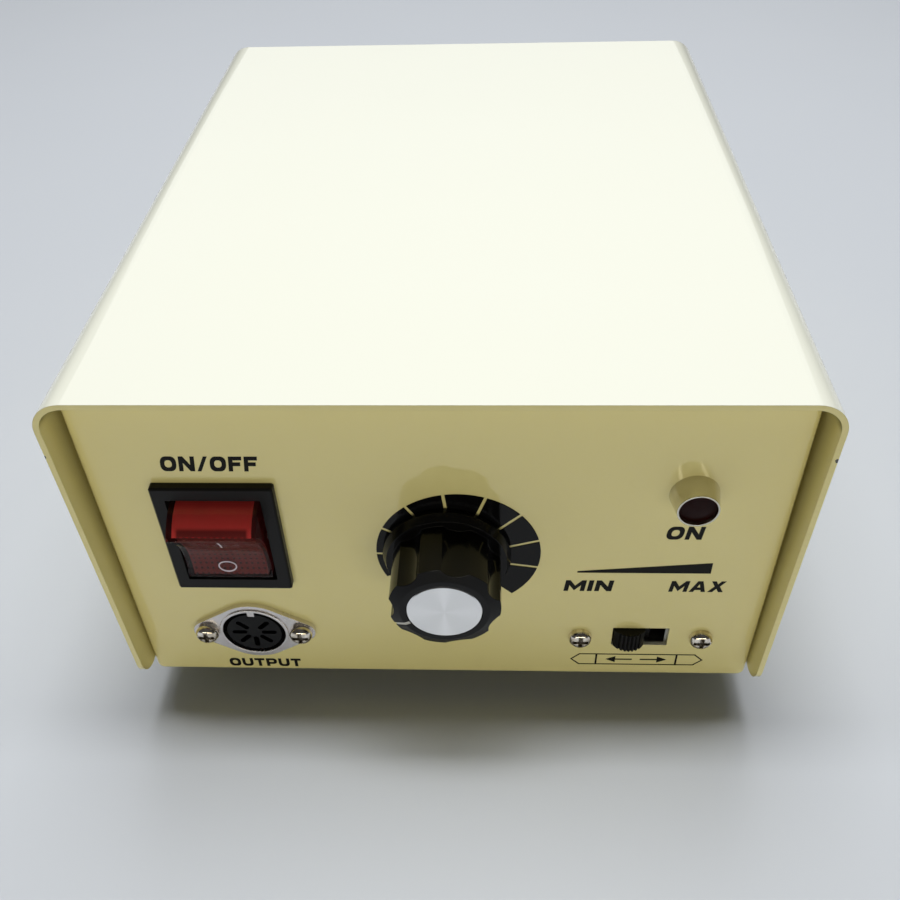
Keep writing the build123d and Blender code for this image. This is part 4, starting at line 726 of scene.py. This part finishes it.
red_body = piece_from("rocker_body", rocker_body(), "rocker", body_finish, smooth=30)
print("red body:", len(red_body.data.polygons), "faces")

# %% [markdown]
# ## The rocker's marks
#
# A bar for on and a ring for off are printed on the shell in pale grey. They are thin films that follow the
# concave face, so they stay with the rocker when it turns. A decal would need a picture.

# %% Rocker marks
MARK_FILM = 0.04 * MM
RING_AT = (-0.3 * MM, -6.1 * MM)
RING_HALF_WIDTH, RING_HALF_HEIGHT, RING_STROKE = 2.05 * MM, 1.50 * MM, 0.30 * MM
ON_LOW, ON_STEP, ON_POINTS, ON_HALF = 1.2 * MM, 0.45 * MM, 9, 0.16 * MM


def film_strip(rows, closed):
    """A film on the rocker's face between two rows of points across and up."""
    mesh = bmesh.new()
    layers = []
    for row in rows:
        for lift in (0.0, MARK_FILM):
            layers.append([mesh.verts.new(on_rocker(x, up, face_out(up) + lift)) for x, up in row])
    low_a, high_a, low_b, high_b = layers
    count = len(low_a)
    for k in range(count if closed else count - 1):
        n = (k + 1) % count
        mesh.faces.new((high_a[k], high_a[n], high_b[n], high_b[k]))
        mesh.faces.new((low_a[n], low_a[k], low_b[k], low_b[n]))
        mesh.faces.new((low_a[k], low_a[n], high_a[n], high_a[k]))
        mesh.faces.new((low_b[n], low_b[k], high_b[k], high_b[n]))
    if not closed:
        for k in (0, count - 1):
            mesh.faces.new((low_a[k], high_a[k], high_b[k], low_b[k]))
    bmesh.ops.recalc_face_normals(mesh, faces=mesh.faces)
    return mesh


def oval(middle, half_width, half_height, points=56):
    """Points round an oval, as across and up."""
    turns = [2 * math.pi * k / points for k in range(points)]
    return [(middle[0] + half_width * math.cos(t), middle[1] + half_height * math.sin(t)) for t in turns]


mark_paint = moulded("rocker mark paint", (0.66, 0.60, 0.68), 0.45)
ring = [oval(RING_AT, RING_HALF_WIDTH - inset, RING_HALF_HEIGHT - inset) for inset in (0.0, RING_STROKE)]
bar = [[(side * ON_HALF, ON_LOW + ON_STEP * k) for k in range(ON_POINTS)] for side in (-1, 1)]
off_mark = piece_from("rocker_mark_off", film_strip(ring, True), "rocker", mark_paint)
on_mark = piece_from("rocker_mark_on", film_strip(bar, False), "rocker", mark_paint)
print("marks:", off_mark.name, on_mark.name)

# %% [markdown]
# ## Spun aluminium
#
# The cap on the knob is a disc turned on a lathe. The tool leaves rings finer than a hair, and these rings
# stretch every highlight into a wedge that points at the middle. Anisotropic shading would give the wedges by
# itself, but they would hang on the lamps and fade in soft light. Here the rings are a bump from the distance
# to the axis, and the wedges are painted highlights, a tone from the angle round it: a high power of the
# sine's size gives the narrow pair, a lower power of the cosine's the wide pair.

# %% Spun disc
DISC_SILVER, DISC_ROUGH = (0.98, 0.98, 0.99), 0.20
RING_SHADE, PAINTED_OFF_WEDGE_SHADE = 0.97, 0.86
TOOL_PITCH, TOOL_DEPTH = 0.16 * MM, 0.020 * MM


def spun_metal():
    """Turned metal with rings and painted highlight wedges round the knob's axis."""
    finish = Finish("spun aluminium")
    flat, radius = finish.around(knob_at)
    values = {"W": radius / TOOL_PITCH, "Scale": 1.0, "Detail": 2.0}
    rings = finish.node("TexNoise", {"noise_dimensions": "1D"}, values)
    parts = finish.node("SeparateXYZ", None, {0: flat})
    angle = parts.math("ARCTAN2", parts.out("Z"), parts.out("X"))
    sine, cosine = [angle.math(wave).math("ABSOLUTE") for wave in ("SINE", "COSINE")]
    # Painted highlight: bright wedges by angle, with the colour darker between them.
    painted_wedge_highlights = (sine**40.0) * 0.8 + (cosine**14.0) * 0.5
    tone = finish.mix(rings, tuple(c * RING_SHADE for c in DISC_SILVER), DISC_SILVER)
    tone = finish.mix(1.0 - painted_wedge_highlights, tone, tuple(c * PAINTED_OFF_WEDGE_SHADE for c in DISC_SILVER))
    normal = finish.bump(rings, TOOL_DEPTH)
    return finish.surface(Base_Color=tone, Metallic=1.0, Roughness=DISC_ROUGH, Normal=normal)


disc_spun = spun_metal()
print("spun disc about", [round(v / MM, 2) for v in knob_at], "mm")

# %% [markdown]
# ## Painting the parts
#
# Each part of the model already has the right shape, so it keeps its mesh and takes a finish. One table says
# which finish goes where, and a part that it forgets is printed.

# %% Finishes on parts
finishes = {
    cover_finish: ["cover"],
    panel_finish: ["chassis"],
    foot_black: ["rubber_feet"],
    screw_nickel: ["foot_screws", "cover_screws", "floor_screws", "board_screws"],
    socket_screw_nickel: ["socket_screws"],
    slide_screw_nickel: ["slide_screws"],
    nut_zinc: ["floor_nuts", "socket_nuts", "speed_nut", "speed_washer", "lamp_nut"],
    bezel_black: ["switch_housing"],
    shell_clear: ["rocker"],
    contact_brass: ["switch_plungers", "switch_blades", "socket_contacts", "slide_contacts"],
    terminal_tin: ["switch_terminals", "speed_lugs", "slide_terminals"],
    clear_glass: ["switch_neon", "fuse"],
    flange_nickel: ["socket_flange", "socket_key"],
    insert_black: ["socket_insert"],
    knob_black: ["knob"],
    pointer_white: ["knob_pointer"],
    disc_spun: ["knob_disc"],
    grub_steel: ["knob_grub_screw"],
    shaft_brass: ["speed_shaft", "speed_bushing"],
    steel_can: ["speed_can", "slide_frame"],
    wafer_brown: ["speed_wafer"],
    base_black: ["slide_base"],
    wiper_brown: ["speed_wiper"],
    scale_ink: ["speed_scale"],
    lamp_nickel: ["lamp_bezel"],
    lens_red: ["lamp_lens"],
    diode_clear: ["lamp_diode"],
    button_black: ["slide_button"],
    core_steel: ["transformer_core"],
    bobbin_cream: ["transformer_bobbin"],
    tape_yellow: ["transformer_windings"],
    strap_zinc: ["transformer_strap", "board_standoffs"],
    board_green: ["circuit_board"],
    heatsink_grey: ["heatsink"],
    device_black: ["power_transistors", "bridge_rectifier"],
    sleeve_black: ["reservoir_capacitor", "small_capacitors"],
    connector_white: ["board_connector"],
    fuse_black: ["fuse_holder", "fuse_cap", "fuse_nut"],
    gland_black: ["cord_gland"],
}
for material, names in finishes.items():
    for name in names:
        nodes[name].data.materials.clear()
        nodes[name].data.materials.append(material)
undressed = sorted(set(nodes) - {name for names in finishes.values() for name in names})
print("parts without a finish:", undressed)

# %% [markdown]
# ## Letters
#
# The panel carries black silk-screen print in a wide, heavy style, and a plain text font is too thin for it.
# So the letters are drawn here as outlines: each one is a width and a few loops of points, in a box one unit
# high. The round ones are made of quarter turns.

# %% Round corners
BAR, THIN_BAR = 0.31, 0.25
OUTER_TURN, O_INNER_TURN, U_INNER_TURN = 0.40, 0.22, 0.20


def corner(across, up, radius, start, steps=5):
    """A quarter turn round a middle, from a start angle in degrees."""
    turns = [math.radians(start + 90 * k / steps) for k in range(steps + 1)]
    return [(across + radius * math.cos(t), up + radius * math.sin(t)) for t in turns]


def cup(left, bottom, right, radius):
    """The two lower corners of a round box, from left to right."""
    near, far, low = left + radius, right - radius, bottom + radius
    return corner(near, low, radius, 180) + corner(far, low, radius, -90)


def round_box(left, bottom, right, top, radius):
    """The outline of a box with round corners."""
    near, far, low, high = left + radius, right - radius, bottom + radius, top - radius
    quarters = (far, low, -90), (far, high, 0), (near, high, 90), (near, low, 180)
    return [point for across, up, start in quarters for point in corner(across, up, radius, start)]


print("a round box has", len(round_box(0, 0, 1, 1, OUTER_TURN)), "points")

# %% Letters
O_WIDTH, U_WIDTH = 1.15, 1.12
o_inner = round_box(BAR, THIN_BAR, O_WIDTH - BAR, 1 - THIN_BAR, O_INNER_TURN)
u_outer = cup(0, 0, U_WIDTH, OUTER_TURN)
u_inner = cup(BAR, THIN_BAR, U_WIDTH - BAR, U_INNER_TURN)
LETTERS = {
    "O": (O_WIDTH, [round_box(0, 0, O_WIDTH, 1, OUTER_TURN), o_inner]),
    "N": (1.14, [[(0, 0), (BAR, 0), (BAR, 0.58), (0.82, 0), (1.14, 0), (1.14, 1), (0.83, 1), (0.83, 0.42),
                  (0.32, 1), (0, 1)]]),
    "F": (0.94, [[(0, 0), (BAR, 0), (BAR, 0.36), (0.84, 0.36), (0.84, 0.61), (BAR, 0.61), (BAR, 0.75),
                  (0.94, 0.75), (0.94, 1), (0, 1)]]),
    "/": (0.76, [[(0, 0), (0.28, 0), (0.76, 1), (0.48, 1)]]),
    "U": (U_WIDTH, [[(0, 1)] + u_outer + [(U_WIDTH, 1), (U_WIDTH - BAR, 1)] + u_inner[::-1] + [(BAR, 1)]]),
    "T": (1.02, [[(0.355, 0), (0.665, 0), (0.665, 0.75), (1.02, 0.75), (1.02, 1), (0, 1), (0, 0.75),
                  (0.355, 0.75)]]),
    "P": (1.08, [[(0, 0), (BAR, 0), (BAR, 0.28), (0.74, 0.28), (0.96, 0.35), (1.08, 0.51), (1.08, 0.78),
                  (0.96, 0.93), (0.74, 1), (0, 1)],
                 [(BAR, 0.52), (0.68, 0.52), (0.77, 0.58), (0.77, 0.70), (0.68, 0.76), (BAR, 0.76)]]),
    "M": (1.38, [[(0, 0), (0.30, 0), (0.30, 0.56), (0.69, 0.06), (1.08, 0.56), (1.08, 0), (1.38, 0),
                  (1.38, 1), (1.08, 1), (0.69, 0.50), (0.30, 1), (0, 1)]]),
    "I": (0.32, [[(0, 0), (0.32, 0), (0.32, 1), (0, 1)]]),
    "A": (1.24, [[(0, 0), (0.33, 0), (0.40, 0.18), (0.84, 0.18), (0.91, 0), (1.24, 0), (0.81, 1),
                  (0.43, 1)], [(0.49, 0.41), (0.75, 0.41), (0.62, 0.73)]]),
    "X": (1.18, [[(0, 0), (0.37, 0), (0.59, 0.31), (0.81, 0), (1.18, 0), (0.79, 0.52), (1.14, 1), (0.78, 1),
                  (0.59, 0.72), (0.40, 1), (0.04, 1), (0.39, 0.52)]]),
}
LETTER_GAP = 0.17
print("letters:", "".join(LETTERS))

# %% [markdown]
# ## Printing on the panel
#
# A print is a real film of ink, so each piece is a thin solid. A filled curve turns closed loops into a film
# with holes where they belong, and its mesh is then laid on the panel. An image of the print could be
# projected on the panel, but a film keeps sharp edges from any distance.

# %% Ink
INK_FILM = 0.05 * MM
SAME_POINT = 0.001 * MM
INK_TONES = (0.004, 0.004, 0.0035), (0.008, 0.0075, 0.006)


def ink():
    """Glossy black ink."""
    finish = Finish("panel ink")
    patch = finish.noise(2 * MM, 3.0)
    tone = finish.mix(patch, *INK_TONES)
    return finish.surface(Base_Color=tone, Roughness=0.30 + patch * 0.15, Specular_IOR_Level=0.12)


def filled(name, loops):
    """A flat film's mesh from closed loops of points, in metres across and up."""
    curve = bpy.data.curves.new(name, "CURVE")
    curve.dimensions = "2D"
    curve.fill_mode = "BOTH"
    curve.extrude = INK_FILM / 2
    for loop in loops:
        spline = curve.splines.new("POLY")
        spline.points.add(len(loop) - 1)
        for point, (across, up) in zip(spline.points, loop):
            point.co = (across, up, 0, 1)
        spline.use_cyclic_u = True
    drawing = bpy.data.objects.new(name + "_drawing", curve)
    bpy.context.scene.collection.objects.link(drawing)
    bpy.context.view_layer.update()
    film = bpy.data.meshes.new_from_object(drawing.evaluated_get(bpy.context.evaluated_depsgraph_get()))
    bpy.data.objects.remove(drawing)
    return film


def printed(name, loops):
    """A film of ink on the panel."""
    film = filled(name, loops)
    mesh = bmesh.new()
    mesh.from_mesh(film)
    bpy.data.meshes.remove(film)
    for vertex in mesh.verts:
        across, up, out = vertex.co
        vertex.co = (across, panel_y - INK_FILM / 2 - out, up)
    bmesh.ops.remove_doubles(mesh, verts=mesh.verts, dist=SAME_POINT)
    bmesh.ops.recalc_face_normals(mesh, faces=mesh.faces)
    return piece_from(name, mesh, "case", panel_ink)


panel_ink = ink()
print("ink:", panel_ink.name, "as a film of", round(INK_FILM / MM, 2), "mm")

# %% [markdown]
# ## Words
#
# ON/OFF stands over the rocker, OUTPUT under the socket, ON under the lamp, and MIN and MAX beside the speed
# knob. Each word is stretched to fill a box on the panel, as a printer's block would be, and most of them
# lean a little. A text object could lean too, but it couldn't be made to fill a box in one step.

# %% Words
SLANT = 0.12


def at_height(height):
    """A height in millimetres above the case's underside, in metres above the table."""
    return underside + height * MM


def word_loops(word, left, right, bottom, top, slant):
    """The loops of a word that fills a box, in millimetres across and up."""
    width = sum(LETTERS[letter][0] for letter in word) + LETTER_GAP * (len(word) - 1)
    high = top - bottom
    loops, start = [], 0.0
    for letter in word:
        advance, outlines = LETTERS[letter]
        for outline in outlines:
            spread = [((start + x) / width, up) for x, up in outline]
            loops.append([(MM * (left + (right - left) * x + slant * high * (up - 0.5)),
                           at_height(bottom + high * up)) for x, up in spread])
        start += advance + LETTER_GAP
    return loops


words = {
    "print_on_off": ("ON/OFF", -55.6, -36.0, 67.7, 71.7, SLANT),
    "print_output": ("OUTPUT", -53.6, -35.9, 1.7, 4.8, 0.0),
    "print_lamp_on": ("ON", 47.4, 55.0, 48.4, 52.3, SLANT),
    "print_min": ("MIN", 27.0, 37.6, 31.4, 35.0, SLANT),
    "print_max": ("MAX", 50.2, 62.2, 31.4, 35.0, SLANT),
}
for name, (word, *box) in words.items():
    printed(name, word_loops(word, *box))
print("words:", [word[0] for word in words.values()])

# %% [markdown]
# ## Signs beside the controls
#
# The wedge says that the speed rises from left to right. The plate under the direction switch is an outline
# with a tip at each end, two bars, and arrows for both directions. More words would do, but signs need no
# language.

# %% Signs
WEDGE_LEFT, WEDGE_RIGHT, WEDGE_LOW, WEDGE_THIN, WEDGE_THICK = 29.5, 58.4, 37.6, 0.5, 3.4
PLATE_LEFT, PLATE_RIGHT, PLATE_LOW, PLATE_HIGH, PLATE_TIP = 29.75, 61.34, 3.96, 8.26, 2.06
LINE = 0.32
UPRIGHT_AT, UPRIGHT_WIDTH = (35.7, 54.75), 0.45
ARROW_TIPS = (38.2, 52.7)
plate_middle = (PLATE_LOW + PLATE_HIGH) / 2


def sign(*points):
    """A loop from points in millimetres across and up."""
    return [(across * MM, at_height(up)) for across, up in points]


def plate_outline(inset):
    """The plate's outline, or one that lies inside it."""
    tip, shoulder = inset * 1.35, PLATE_TIP + inset * 0.5
    low, high = PLATE_LOW + inset, PLATE_HIGH - inset
    return sign((PLATE_LEFT + tip, plate_middle), (PLATE_LEFT + shoulder, low),
                (PLATE_RIGHT - shoulder, low), (PLATE_RIGHT - tip, plate_middle),
                (PLATE_RIGHT - shoulder, high), (PLATE_LEFT + shoulder, high))


def upright(across):
    """An upright bar inside the plate."""
    low, high, end = PLATE_LOW + LINE, PLATE_HIGH - LINE, across + UPRIGHT_WIDTH
    return sign((across, low), (end, low), (end, high), (across, high))


def arrow(tip, way, head=2.3, half=1.15, shaft=4.0, thick=0.42):
    """An arrow that points one way from its tip."""
    neck, tail = tip - way * head, tip - way * (head + shaft)
    low, high = plate_middle - thick / 2, plate_middle + thick / 2
    return sign((tip, plate_middle), (neck, plate_middle + half), (neck, high), (tail, high),
                (tail, low), (neck, low), (neck, plate_middle - half))


wedge = sign((WEDGE_LEFT, WEDGE_LOW), (WEDGE_RIGHT, WEDGE_LOW), (WEDGE_RIGHT, WEDGE_LOW + WEDGE_THICK),
             (WEDGE_LEFT, WEDGE_LOW + WEDGE_THIN))
printed("print_wedge", [wedge])
printed("print_direction_plate", [plate_outline(0.0), plate_outline(LINE)])
printed("print_direction_bars", [upright(across) for across in UPRIGHT_AT])
printed("print_direction_arrows", [arrow(tip, way) for tip, way in zip(ARROW_TIPS, (-1, 1))])
print("signs: wedge and direction plate")
